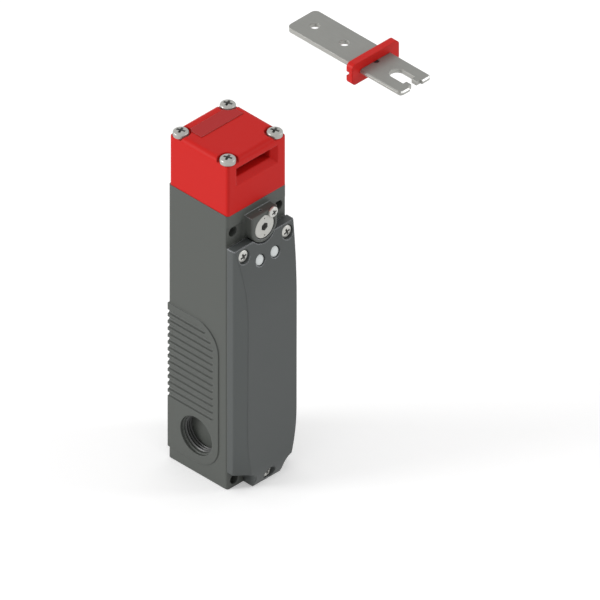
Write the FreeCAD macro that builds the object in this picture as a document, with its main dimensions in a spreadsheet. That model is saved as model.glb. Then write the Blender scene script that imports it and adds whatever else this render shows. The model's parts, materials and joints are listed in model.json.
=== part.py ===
"""Tongue interlock switch with guard locking: a die-cast housing and front cover, a red operating head
with a cam, a lock slide driven by a solenoid, a manual release and a separate steel tongue.

Frame: +X to the right facing the front, -Y to the front, +Z up, millimetres. The origin is on the axis of
the bottom conduit entry, in the plane of the housing's base.
"""

import FreeCAD
import Part
import os
import re

import Sketcher

V = FreeCAD.Vector

# Driving dimensions. Lengths in millimetres, angles in degrees.
SIZES = {
    # housing
    "body_width": 40.4,
    "body_deep": 40.5,
    "body_mid": 0.35,
    "body_height": 161.5,
    "body_corner": 1.5,
    "back_wall": 3.0,
    "side_wall": 3.2,
    "cavity_floor": 37.0,
    "cavity_drop": 27.5,
    "gland_wall": 7.7,
    "gland_bay_floor": 12.2,
    "shaft_bay_width": 19.0,
    "shaft_bay_front": 11.5,
    "shaft_bay_back": 5.5,
    # pads on the mounting side
    "pad_proud": 0.4,
    "foot_pad_top": 91.3,
    "hole_pad_height": 8.8,
    "hole_pad_reach": 5.5,
    # fixing holes
    "fixing_r": 2.75,
    "fixing_edge": 4.7,
    "fixing_drop": 11.0,
    "fixing_low": 4.5,
    "recess_reach": 6.5,
    "recess_below": 7.5,
    "recess_above": 3.5,
    "recess_deep": 0.9,
    # ribbed side panels
    "panel_proud": 0.45,
    "panel_setback": 5.9,
    "panel_round": 15.0,
    "panel_low": 6.5,
    "rib_groove_r": 1.2,
    "rib_groove_deep": 1.3,
    "rib_groove_tip_r": 0.3,
    "rib_groove_low": 37.4,
    "rib_groove_pitch": 4.06,
    "rib_groove_margin": 3.3,
    # conduit entries
    "entry_r": 10.0,
    "entry_y": 1.0,
    "entry_z": 22.0,
    "entry_bore_r": 10.75,
    "entry_bore_deep": 1.5,
    "membrane": 1.0,
    # release block on the front of the housing
    "block_half": 8.7,
    "block_proud": 5.6,
    "block_drop": 4.3,
    "block_round": 1.0,
    "seal_hole_r": 0.75,
    "seal_hole_inset": 3.1,
    "seal_hole_deep": 1.2,
    # front cover
    "cover_overhang": 0.3,
    "cover_deep": 10.7,
    "cover_wall": 3.0,
    "cover_side_wall": 6.5,
    "cover_drop": 18.3,
    "shoulder_deep": 4.1,
    "crease_inset": 3.9,
    "crease_bend": 36.0,
    "crease_bend_r": 93.0,
    "bulge_high": 41.2,
    "bulge_r": 149.0,
    "chin_setback": 0.4,
    "chin_z": 14.0,
    "chin_r": 27.0,
    "cover_cavity_low": 16.0,
    "cover_cavity_drop": 23.2,
    "cover_gap": 0.4,
    "notch_r": 6.2,
    "gasket_width": 1.0,
    "gasket_deep": 0.8,
    "gasket_land": 1.5,
    "gasket_land_low": 0.8,
    "gasket_land_high": 1.2,
    # cover screws
    "cover_screw_inset": 5.65,
    "cover_screw_drop": 4.7,
    "cover_screw_deep": 4.9,
    "chin_screw_z": 4.7,
    "chin_screw_deep": 6.7,
    "cover_screw_head_r": 3.4,
    "cover_screw_head_deep": 2.0,
    "cover_screw_r": 1.75,
    "cover_screw_grip": 7.3,
    "screw_recess_gap": 0.3,
    # light windows and their board
    "light_x": 5.07,
    "light_drop": 10.7,
    "light_r": 3.15,
    "light_long": 4.0,
    "light_sunk": 0.6,
    "lamp_r": 1.4,
    "lamp_drop": 1.3,
    "lamp_long": 2.5,
    "board_width": 22.0,
    "board_drop": 11.9,
    "board_thick": 1.6,
    # operating head
    "head_step_x": 0.2,
    "head_step_y": 0.25,
    "head_height": 31.1,
    "head_corner": 1.5,
    "head_top_round": 2.8,
    "head_wall": 7.5,
    "chamber_roof": 5.6,
    "slot_rise": 20.9,
    "slot_side_gap": 0.85,
    "slot_face_gap": 1.15,
    "funnel_grow": 2.7,
    "funnel_deep": 2.9,
    "head_screw_edge": 3.9,
    "head_screw_r": 2.0,
    "head_screw_head_r": 4.0,
    "head_screw_head_deep": 3.1,
    "head_pocket_r": 5.2,
    "head_pocket_deep": 2.1,
    "head_screw_grip": 6.5,
    "head_gasket_land": 0.85,
    "head_gasket_width": 0.9,
    "head_plate_ends": 5.8,
    "head_plate_wide": 9.0,
    "head_plate_x": 1.65,
    "head_plate_inset": 10.1,
    "head_plate_thick": 1.0,
    "head_plate_proud": 0.25,
    # cam and its carrier
    "cam_y": 0.5,
    "cam_rise": 11.5,
    "cam_r": 11.0,
    "cam_thick": 7.0,
    "cam_hub_r": 3.6,
    "cam_half": 8.1,
    "cam_disc_gap": 1.0,
    "cam_turn": 52.0,
    "cam_notch_width": 4.2,
    "cam_notch_root": 6.2,
    "cam_notch_angle": 30.0,
    "throw_r": 5.8,
    "throw_offset": 2.74,
    "lock_disc_r": 7.0,
    "lock_slot_width": 3.0,
    "lock_slot_deep": 2.8,
    "axle_r": 2.0,
    "carrier_base": 2.0,
    "cam_well_half": 7.15,
    "cheek_gap": 0.4,
    "cheek_thick": 1.9,
    "cheek_half": 4.5,
    # push rod and contacts
    "rod_x": 6.25,
    "rod_r": 2.0,
    "foot_drop": 7.0,
    "foot_thick": 3.0,
    "foot_gap": 3.0,
    "foot_half": 9.6,
    "foot_lap": 1.0,
    "contact_x": 7.5,
    "contact_y": 11.0,
    "plunger_r": 1.5,
    "plunger_tip": 1.6,
    "bridge_lift": 11.6,
    "bridge_wide": 4.0,
    "bridge_long": 6.8,
    "bridge_thick": 0.8,
    "insert_side_gap": 2.0,
    "insert_tall": 29.0,
    "insert_front": 4.8,
    "contact_bay_floor": 6.0,
    "contact_bay_roof": 4.0,
    "contact_bay_wide": 8.0,
    "contact_bay_long": 8.6,
    "contact_stroke": 3.6,
    "contact_strip_wide": 3.0,
    "contact_strip_thick": 0.8,
    "contact_strip_y": 2.7,
    "spring_r": 2.0,
    "spring_wire_r": 0.3,
    "spring_pitch": 2.0,
    "spring_bay_r": 2.8,
    "spring_sunk": 9.0,
    # terminals
    "terminal_lift": 7.0,
    "terminal_gap": 8.0,
    "terminal_pitch": 7.0,
    "terminal_inset": 8.0,
    "terminal_screw_head_r": 2.4,
    "terminal_screw_head_deep": 1.6,
    "terminal_screw_r": 1.25,
    "terminal_screw_long": 6.0,
    "earth_screw_inset": 2.3,
    "earth_screw_y": 12.0,
    "earth_screw_head_r": 2.2,
    "earth_screw_long": 3.6,
    # solenoid
    "coil_y": 8.45,
    "coil_r": 10.3,
    "coil_bore_r": 4.8,
    "coil_drop": 18.0,
    "coil_long": 32.0,
    "frame_plate": 2.0,
    "frame_half": 11.0,
    "core_r": 4.5,
    "core_lift": 8.0,
    "core_proud": 9.0,
    "lock_spring_r": 3.4,
    "lock_spring_pitch": 2.1,
    "lock_spring_wire_r": 0.4,
    # lock slide
    "slide_front": 9.7,
    "slide_thick": 2.5,
    "slide_left": 5.9,
    "slide_right": 7.7,
    "slide_below": 11.8,
    "slide_above": 6.2,
    "slide_tail_half": 2.8,
    "slide_tail_grip": 4.5,
    "slide_arm_wide": 4.0,
    "finger_wide": 3.0,
    "finger_thick": 2.0,
    "finger_gap": 0.5,
    "window_low": 3.7,
    "window_high": 3.4,
    "window_half": 3.4,
    # manual release
    "release_drop": 12.7,
    "release_r": 6.5,
    "release_sunk": 0.3,
    "release_deep": 4.2,
    "release_bevel": 0.3,
    "release_hex": 4.0,
    "release_hex_deep": 2.6,
    "release_shaft_r": 3.0,
    "release_shaft_end": 10.4,
    "release_throw": 1.5,
    "release_pin_r": 1.4,
    "release_pin_end": 6.6,
    "seal_ring_wide": 1.7,
    "seal_ring_bay_deep": 2.0,
    "lock_screw_x": 5.0,
    "lock_screw_drop": 1.8,
    "lock_screw_head_r": 2.8,
    "lock_screw_head_deep": 1.4,
    "lock_screw_r": 1.25,
    "lock_screw_long": 9.0,
    # tongue and collar
    "tongue_x": 101.4,
    "tongue_tip_y": 27.7,
    "tongue_long": 79.0,
    "tongue_thick": 2.5,
    "tongue_wide": 20.0,
    "tongue_fork_wide": 21.3,
    "tongue_fork_long": 27.9,
    "tongue_rear_round": 3.0,
    "tongue_tip_round": 2.5,
    "tongue_tip_bevel": 0.7,
    "fork_half": 4.0,
    "fork_end": 17.2,
    "lip_half": 1.75,
    "lip_front": 1.8,
    "lip_back": 5.1,
    "prong_inner": 4.4,
    "tongue_hole_r": 2.55,
    "tongue_hole_end": 9.5,
    "tongue_hole_pitch": 20.3,
    "peg_hole_r": 1.5,
    "peg_hole_inset": 0.3,
    "collar_rim": 6.0,
    "collar_high": 12.0,
    "collar_thick": 4.0,
    "collar_round": 2.5,
    "collar_notch_high": 2.4,
    "collar_notch_deep": 1.7,
    # clearances, and how far a cutter runs past the face it opens
    "part_gap": 0.3,
    "fit_gap": 0.05,
    "overrun": 1.0,
}

# Sizes that follow from those above.
TIES = {
    # housing: the base entry's axis stands body_mid in front of the housing's middle
    "body_front": "body_deep / 2 - body_mid",
    "body_back": "body_deep / 2 + body_mid",
    "cavity_width": "body_width - 2 * side_wall",
    "cavity_top": "body_height - cavity_drop",
    "gland_bay_width": "body_width - 2 * gland_wall",
    "fixing_pitch": "body_width - 2 * fixing_edge",
    "fixing_high": "body_height - fixing_drop",
    "recess_inner": "fixing_pitch / 2 - recess_reach",
    "hole_pad_inner": "fixing_pitch / 2 - hole_pad_reach",
    "pad_back": "body_back + pad_proud",
    "panel_half": "body_width / 2 + panel_proud",
    "panel_front": "body_front - panel_setback",
    "panel_arc_y": "panel_round - panel_front",
    "panel_arc_high": "foot_pad_top - panel_round",
    "panel_arc_low": "panel_low + panel_round",
    "block_front": "body_front + block_proud",
    "block_top": "body_height - block_drop",
    "seal_hole_y": "block_front - seal_hole_inset",
    # front cover
    "cover_half": "body_width / 2 + cover_overhang",
    "cover_front": "body_front + cover_deep",
    "cover_top": "body_height - cover_drop",
    "cover_shoulder": "body_front + shoulder_deep",
    "cover_crease": "cover_half - crease_inset",
    "cover_cavity_width": "2 * (cover_half - cover_side_wall)",
    "cover_cavity_front": "cover_front - cover_wall",
    "cover_cavity_high": "cover_top - cover_cavity_drop",
    "cover_chin": "cover_front - chin_setback",
    "bulge_low": "cover_top - bulge_high",
    "bulge_y": "bulge_r - cover_front",
    "chin_y": "chin_r - cover_chin",
    "gasket_half": "cavity_width / 2 + gasket_land",
    "gasket_low": "gland_bay_floor - gasket_land_low",
    "gasket_high": "cavity_top + gasket_land_high",
    "cover_screw_x": "cover_half - cover_screw_inset",
    "cover_screw_z": "cover_top - cover_screw_drop",
    "cover_screw_face": "body_front + cover_screw_deep",
    "chin_screw_face": "body_front + chin_screw_deep",
    "cover_screw_end": "body_front - cover_screw_grip",
    "light_z": "cover_top - light_drop",
    "light_tilt": "asin((light_z - bulge_low) / bulge_r)",
    "board_low": "light_z - board_drop",
    # operating head
    "head_half_x": "body_width / 2 - head_step_x",
    "head_half_y": "body_deep / 2 - head_step_y",
    "head_top": "body_height + head_height",
    "chamber_x": "head_half_x - head_wall",
    "chamber_y": "head_half_y - head_wall",
    "head_screw_x": "head_half_x - head_screw_edge",
    "head_screw_y": "head_half_y - head_screw_edge",
    "head_pocket_floor": "head_top - head_pocket_deep",
    "slot_z": "body_height + slot_rise",
    "slot_half": "tongue_fork_wide / 2 + slot_side_gap",
    "slot_up": "tongue_thick / 2 + slot_face_gap",
    "plate_half": "head_half_x - head_plate_ends",
    "plate_y": "head_half_y - head_plate_inset",
    "plate_top": "head_top + head_plate_proud",
    "plate_floor": "plate_top - head_plate_thick",
    # cam, push rod and contacts
    "cam_z": "body_height + cam_rise",
    "cam_bore_r": "axle_r + fit_gap",
    "carrier_top": "body_height + carrier_base",
    "cheek_inner": "cam_half + cheek_gap",
    "cheek_outer": "cheek_inner + cheek_thick",
    "throw_y": "throw_offset * cos(cam_turn / 2)",
    "throw_z": "throw_offset * sin(cam_turn / 2)",
    "dome_z": "cam_z + throw_z - sqrt((throw_r + rod_r + part_gap) ^ 2 - throw_y ^ 2)",
    "foot_top": "cavity_top - foot_drop",
    "foot_low": "foot_top - foot_thick",
    "insert_half": "cavity_width / 2 - insert_side_gap",
    "insert_back": "body_back - back_wall",
    "insert_high": "foot_low - foot_gap",
    "insert_low": "insert_high - insert_tall",
    "contact_bay_low": "insert_low + contact_bay_floor",
    "contact_bay_high": "insert_high - contact_bay_roof",
    "bridge_z": "contact_bay_low + bridge_lift",
    "plunger_end": "bridge_z - plunger_tip",
    "contact_strip_top": "bridge_z - contact_stroke",
    "spring_seat": "insert_high - spring_sunk",
    "terminal_low": "cavity_floor + terminal_lift",
    "terminal_high": "insert_low - terminal_gap",
    "terminal_row_low": "terminal_low + terminal_inset",
    "terminal_row_high": "terminal_high - terminal_inset",
    "earth_screw_x": "cavity_width / 2 - earth_screw_inset",
    # solenoid, lock slide and release
    "coil_high": "cavity_top - coil_drop",
    "coil_low": "coil_high - coil_long",
    "core_low": "coil_low + core_lift",
    "core_high": "coil_high + core_proud",
    "release_z": "body_height - release_drop",
    "release_face": "block_front - release_sunk",
    "release_back": "release_face - release_deep",
    "slide_back": "slide_front - slide_thick",
    "slide_low": "release_z - slide_below",
    "slide_high": "release_z + slide_above",
    "slide_arm_low": "slide_high - slide_arm_wide",
    "slide_tail_low": "core_high - slide_tail_grip",
    "finger_left": "slide_right - finger_wide",
    "finger_back": "cam_y + finger_thick / 2",
    "finger_top": "cam_z - lock_disc_r - finger_gap",
    "lock_screw_z": "block_top - lock_screw_drop",
}

doc = FreeCAD.newDocument("tongue_interlock_switch")
sheet = doc.addObject("Spreadsheet::Sheet", "Sizes")
for row, (alias, number) in enumerate(SIZES.items(), 1):
    sheet.set(f"A{row}", alias)
    sheet.set(f"B{row}", str(number))
    sheet.setAlias(f"B{row}", alias)
doc.recompute()

SUBPARTS = []
TINY = 1e-4
# Sections the lower side chamfers are lofted through, from the bend down to the foot
CHIN_LEVELS = 5


# ---------------------------------------------------------------- helpers

def cells(expression):
    """The expression with each tie written out and each alias pointed at the sheet."""
    def written(word):
        if word[0] in TIES:
            return f"({cells(TIES[word[0]])})"
        return f"Sizes.{word[0]}" if word[0] in SIZES else word[0]
    return re.sub(r"[a-z][a-z_0-9]*", written, expression)


def size(expression):
    """The number that an expression on the sheet works out to."""
    return float(sheet.evalExpression(cells(expression)))


def bind(item, name, expression):
    item.setExpression(name, cells(expression))


def place(item, x="0", y="0", z="0"):
    for axis, expression in zip("xyz", (x, y, z)):
        bind(item, f"Placement.Base.{axis}", expression)
    return item


def subpart(item, label):
    """Mark an object as one of the finished pieces."""
    item.Label = label
    SUBPARTS.append(item)
    return item


def box(name, x, y, z):
    """A block between two expressions along each axis."""
    item = doc.addObject("Part::Box", name)
    for side, (low, high) in zip(("Length", "Width", "Height"), (x, y, z)):
        bind(item, side, f"({high}) - ({low})")
    return place(item, x[0], y[0], z[0])


TURNS = {
    "x": FreeCAD.Rotation(V(0, 1, 0), 90),
    "y": FreeCAD.Rotation(V(1, 0, 0), -90),
    "-y": FreeCAD.Rotation(V(1, 0, 0), 90),
    "z": FreeCAD.Rotation(),
}


def rod(name, along, x, y, z, radius):
    """A round bar along one axis: the pair of expressions on that axis gives its two ends."""
    item = doc.addObject("Part::Cylinder", name)
    item.Placement = FreeCAD.Placement(V(), TURNS[along])
    low, high = {"x": x, "y": y, "z": z}[along]
    bind(item, "Radius", radius)
    bind(item, "Height", f"({high}) - ({low})")
    starts = [low if axis == along else at for axis, at in zip("xyz", (x, y, z))]
    return place(item, *starts)


def fuse(name, *items):
    item = doc.addObject("Part::MultiFuse", name)
    item.Shapes = list(items)
    return item


def cut(name, base, *tools):
    item = doc.addObject("Part::Cut", name)
    item.Base = base
    item.Tool = tools[0] if len(tools) == 1 else fuse(f"{name}_tools", *tools)
    return item


def group(name, *items):
    item = doc.addObject("Part::Compound", name)
    item.Links = list(items)
    return item


def new_body(name):
    return doc.addObject("PartDesign::Body", name)


def new_sketch(body, name, plane, lift="0"):
    """A sketch on one of the body's own planes, lifted along that plane's normal."""
    item = body.newObject("Sketcher::SketchObject", name)
    flat = [each for each in body.Origin.OriginFeatures if each.Role == f"{plane}_Plane"][0]
    item.AttachmentSupport = [(flat, "")]
    item.MapMode = "FlatFace"
    bind(item, "AttachmentOffset.Base.z", lift)
    return item


def fix(sketch, geometry, point, x, y):
    """Hold a point at two expressions."""
    for kind, axis, expression in (("DistanceX", -2, x), ("DistanceY", -1, y)):
        if expression is None:
            continue
        number = size(expression)
        if abs(number) < TINY:
            sketch.addConstraint(Sketcher.Constraint("PointOnObject", geometry, point, axis))
        else:
            at = sketch.addConstraint(Sketcher.Constraint(kind, -1, 1, geometry, point, number))
            bind(sketch, f"Constraints[{at}]", expression)


def outline(sketch, *corners):
    """A closed line. A corner is (x, y), or (x, y, centre x, centre y, turn) where an arc leads to it:
    turn is 1 for an anticlockwise arc and -1 for a clockwise one."""
    first = sketch.GeometryCount
    count = len(corners)
    ends = [V(size(corner[0]), size(corner[1]), 0) for corner in corners]
    tails = []
    for index, corner in enumerate(corners):
        start, end = ends[index - 1], ends[index]
        if len(corner) == 2:
            sketch.addGeometry(Part.LineSegment(start, end))
            tails.append((1, 2))
            continue
        centre = V(size(corner[2]), size(corner[3]), 0)
        circle = Part.Circle(centre, V(0, 0, 1), (start - centre).Length)
        low, high = (start, end) if corner[4] > 0 else (end, start)
        arc = Part.ArcOfCircle(circle, circle.parameter(low), circle.parameter(high))
        sketch.addGeometry(arc)
        tails.append((1, 2) if corner[4] > 0 else (2, 1))
    for index, corner in enumerate(corners):
        after = (index + 1) % count
        here, there = first + index, first + after
        sketch.addConstraint(Sketcher.Constraint("Coincident", here, tails[index][1], there, tails[after][0]))
        fix(sketch, here, tails[index][1], corner[0], corner[1])
        if len(corner) > 2:
            chord = ends[index] - ends[index - 1]
            level = abs(chord.y) < abs(chord.x)
            fix(sketch, here, 3, None if level else corner[2], corner[3] if level else None)
    return sketch


def ring(sketch, x, y, radius):
    """A circle held at two expressions."""
    at = sketch.addGeometry(Part.Circle(V(size(x), size(y), 0), V(0, 0, 1), size(radius)))
    number = sketch.addConstraint(Sketcher.Constraint("Radius", at, size(radius)))
    bind(sketch, f"Constraints[{number}]", radius)
    fix(sketch, at, 3, x, y)
    return sketch


def feature(kind, body, sketch, length, reverse=False):
    """Pad or Pocket a sketch by an expression."""
    item = body.newObject(f"PartDesign::{kind}", f"{sketch.Name}_{kind.lower()}")
    item.Profile = sketch
    item.Reversed = reverse
    bind(item, "Length", length)
    doc.recompute()
    return item


def dress(kind, body, amount, chosen):
    """Fillet or Chamfer the edges of a body that a test picks."""
    tip = body.Tip
    names = [f"Edge{number}" for number, edge in enumerate(tip.Shape.Edges, 1) if chosen(edge)]
    item = body.newObject(f"PartDesign::{kind}", f"{body.Name}_{kind.lower()}{len(body.Group)}")
    item.Base = (tip, names)
    bind(item, "Radius" if kind == "Fillet" else "Size", amount)
    doc.recompute()
    return item


def upright(edge):
    """True for a straight edge along Z."""
    box_of = edge.BoundBox
    return box_of.XLength < TINY and box_of.YLength < TINY and box_of.ZLength > TINY


def block(body, name, x, y, z, kind="Pad"):
    """A rectangular pad or pocket between pairs of expressions."""
    sketch = new_sketch(body, name, "XY", z[0])
    outline(sketch, (x[0], y[0]), (x[1], y[0]), (x[1], y[1]), (x[0], y[1]))
    return feature(kind, body, sketch, f"({z[1]}) - ({z[0]})", reverse=kind == "Pocket")


def screw(name, along, x, y, z, head, head_r, shank_r, side=1):
    """A pan-head screw: z, y or x holds (end of shank, underside of head) on its own axis, and the head
    stands on by `head` towards `side`."""
    ends = {"x": x, "y": y, "z": z}[along]
    tip, under = ends
    low, high = (tip, under) if side > 0 else (under, tip)
    cap_low, cap_high = (under, f"{under} + {head}") if side > 0 else (f"{under} - {head}", under)
    spans = [(low, high) if axis == along else at for axis, at in zip("xyz", (x, y, z))]
    caps = [(cap_low, cap_high) if axis == along else at for axis, at in zip("xyz", (x, y, z))]
    shank = rod(f"{name}_shank", along, *spans, shank_r)
    cap = rod(f"{name}_head", along, *caps, head_r)
    return fuse(name, shank, cap)


def corners_of(x, y):
    """The four signed corners of a rectangular pattern, anticlockwise from the front left."""
    for number, (side, face) in enumerate(((-1, -1), (1, -1), (1, 1), (-1, 1)), 1):
        yield number, f"{side} * {x}", f"{face} * {y}"


# ---------------------------------------------------------------- housing

def housing_casting():
    """The casting before its rib grooves: block, pads, ribbed panels, release block and all its holes."""
    body = new_body("housing_casting")
    block(body, "main_block", ("-body_width / 2", "body_width / 2"), ("-body_front", "body_back"),
          ("0", "body_height"))
    dress("Fillet", body, "body_corner", upright)

    # raised side panels, right across the casting, with rounded front corners
    sketch = new_sketch(body, "side_panels", "YZ", "-panel_half")
    outline(sketch, ("body_back", "panel_low"), ("body_back", "foot_pad_top"),
            ("panel_arc_y", "foot_pad_top"),
            ("-panel_front", "panel_arc_high", "panel_arc_y", "panel_arc_high", 1),
            ("-panel_front", "panel_arc_low"),
            ("panel_arc_y", "panel_low", "panel_arc_y", "panel_arc_low", 1))
    feature("Pad", body, sketch, "2 * panel_half")

    # pads that meet the mounting surface
    edge = "body_width / 2 - body_corner"
    root = "body_back - body_corner"
    block(body, "foot_pad", (f"-({edge})", edge), (root, "pad_back"), ("0", "foot_pad_top"))
    for name, span in (("left", (f"-({edge})", "-hole_pad_inner")), ("right", ("hole_pad_inner", edge))):
        block(body, f"{name}_hole_pad", span, (root, "pad_back"),
              ("fixing_high - hole_pad_height / 2", "fixing_high + hole_pad_height / 2"))

    # release block with its round lower end
    sketch = new_sketch(body, "release_block", "XZ", "body_front - overrun")
    outline(sketch, ("block_half", "block_top"), ("-block_half", "block_top"),
            ("-block_half", "release_z"), ("block_half", "release_z", "0", "release_z", 1))
    feature("Pad", body, sketch, "block_proud + overrun")
    front = size("block_front")
    dress("Fillet", body, "block_round",
          lambda edge: abs(edge.BoundBox.YMin + front) < TINY and edge.BoundBox.YLength < TINY)

    # shallow recesses round the upper fixing holes
    for name, span in (("left", ("-body_width", "-recess_inner")), ("right", ("recess_inner", "body_width"))):
        block(body, f"{name}_recess", span, ("-body_front - overrun", "-body_front + recess_deep"),
              ("fixing_high - recess_below", "fixing_high + recess_above"), "Pocket")

    # inside: main cavity, gland bay below it and the bay of the lock slide above it
    depth = ("-body_front - overrun", "insert_back")
    for name, width, low, high in (("main_cavity", "cavity_width", "cavity_floor", "cavity_top"),
                                   ("gland_bay", "gland_bay_width", "gland_bay_floor", "cavity_floor")):
        block(body, name, (f"-{width} / 2", f"{width} / 2"), depth, (low, high), "Pocket")
    block(body, "shaft_bay", ("-shaft_bay_width / 2", "shaft_bay_width / 2"),
          ("-shaft_bay_front", "shaft_bay_back"), ("cavity_top", "body_height"), "Pocket")

    # grooves that hold the two gaskets
    sketch = new_sketch(body, "cover_gasket_groove", "XZ", "body_front")
    cover_band(sketch, "gasket_width")
    feature("Pocket", body, sketch, "gasket_deep")
    sketch = new_sketch(body, "head_gasket_groove", "XY", "body_height")
    head_band(sketch, "head_gasket_width")
    feature("Pocket", body, sketch, "gasket_deep")

    # holes along Y: fixing holes right through, tapped holes for the cover and lock screws
    sketch = new_sketch(body, "fixing_holes", "XZ", "body_front + overrun")
    for side in (-1, 1):
        for height in ("fixing_low", "fixing_high"):
            ring(sketch, f"{side} * fixing_pitch / 2", height, "fixing_r")
    feature("Pocket", body, sketch, "body_deep + pad_proud + 2 * overrun")
    sketch = new_sketch(body, "cover_screw_holes", "XZ", "body_front")
    for _, x, height, _ in cover_screw_places():
        ring(sketch, x, height, "cover_screw_r + fit_gap")
    feature("Pocket", body, sketch, "cover_screw_grip + part_gap")
    sketch = new_sketch(body, "lock_screw_hole", "XZ", "block_front")
    ring(sketch, "lock_screw_x", "lock_screw_z", "lock_screw_r + fit_gap")
    feature("Pocket", body, sketch, "lock_screw_long + part_gap")

    # stepped bore of the release: dial, seal ring and shaft
    floor = "release_back - part_gap"
    for name, lift, radius, deep in (
        ("dial_bore", "block_front", "release_r + part_gap", f"block_front - ({floor})"),
        ("seal_ring_bore", floor, "release_shaft_r + seal_ring_wide + 2 * fit_gap", "seal_ring_bay_deep"),
        ("shaft_bore", floor, "release_shaft_r + fit_gap", f"{floor} - shaft_bay_front + overrun"),
    ):
        sketch = new_sketch(body, name, "XZ", lift)
        ring(sketch, "0", "release_z", radius)
        feature("Pocket", body, sketch, deep)

    # holes down the Z axis: head screws, seal wire hole and earth screw
    sketch = new_sketch(body, "head_screw_holes", "XY", "body_height")
    for _, x, y in corners_of("head_screw_x", "head_screw_y"):
        ring(sketch, x, y, "head_screw_r + fit_gap")
    feature("Pocket", body, sketch, "head_screw_grip + part_gap")
    sketch = new_sketch(body, "seal_wire_hole", "XY", "block_top")
    ring(sketch, "0", "-seal_hole_y", "seal_hole_r")
    feature("Pocket", body, sketch, "seal_hole_deep")
    sketch = new_sketch(body, "earth_screw_hole", "XY", "cavity_floor")
    ring(sketch, "earth_screw_x", "-earth_screw_y", "terminal_screw_r + fit_gap")
    feature("Pocket", body, sketch, "earth_screw_long + part_gap")

    # conduit entries: left, right and bottom, each closed by a thin break-out wall
    for side, name in ((-1, "left"), (1, "right")):
        for step, radius, deep in (("mouth", "entry_bore_r", "entry_bore_deep"),
                                   ("thread", "entry_r", "panel_half - gland_bay_width / 2 - membrane")):
            sketch = new_sketch(body, f"{name}_entry_{step}", "YZ", f"{side} * panel_half")
            ring(sketch, "entry_y", "entry_z", radius)
            feature("Pocket", body, sketch, deep, reverse=side < 0)
    sketch = new_sketch(body, "base_entry", "XY", "0")
    ring(sketch, "0", "0", "entry_r")
    feature("Pocket", body, sketch, "gland_bay_floor - membrane", reverse=True)
    return body


def cover_band(sketch, width):
    """The cover gasket's run: two nested rectangles, a width apart about its centre line."""
    for step in (0.5, -0.5):
        x, low, high = f"(gasket_half + {step} * ({width}))", f"gasket_low - {step} * ({width})", \
            f"gasket_high + {step} * ({width})"
        outline(sketch, (f"-{x}", low), (x, low), (x, high), (f"-{x}", high))


def head_band(sketch, width):
    """The head gasket's run round the cam chamber, of a given width."""
    for step in (0.5, -0.5):
        x, y = (f"({side} + head_gasket_land + {step} * ({width}))" for side in ("chamber_x", "chamber_y"))
        outline(sketch, (f"-{x}", f"-{y}"), (x, f"-{y}"), (x, y), (f"-{x}", y))


def rib_grooves():
    """Round-bottomed grooves from the back edge of each panel, tapered where the cutter lifts out: they
    stop on a line that runs parallel to the panel's rounded outline."""
    cutters = []
    count = int(size("(foot_pad_top - rib_groove_low - rib_groove_r) / rib_groove_pitch")) + 1
    reach = "(panel_round - rib_groove_margin)"
    for index in range(count):
        height = f"rib_groove_low + {index} * rib_groove_pitch"
        above = f"max(0; {height} - panel_arc_high)"
        end = f"panel_arc_y - sqrt({reach} ^ 2 - ({above}) ^ 2) + rib_groove_r"
        for side, name in ((-1, "left"), (1, "right")):
            x = f"{side} * (panel_half - rib_groove_deep + rib_groove_r)"
            label = f"{name}_groove_{index + 1}"
            cutters.append(rod(label, "y", x, (end, "pad_back + overrun"), height, "rib_groove_r"))
            tip = doc.addObject("Part::Cone", f"{label}_end")
            tip.Placement = FreeCAD.Placement(V(), TURNS["-y"])
            for name_of, expression in (("Radius1", "rib_groove_r"), ("Radius2", "rib_groove_tip_r"),
                                        ("Height", "rib_groove_r")):
                bind(tip, name_of, expression)
            cutters.append(place(tip, x, end, height))
    return cutters


def housing():
    subpart(cut("housing", housing_casting(), *rib_grooves()), "housing")


# ---------------------------------------------------------------- front cover

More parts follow.
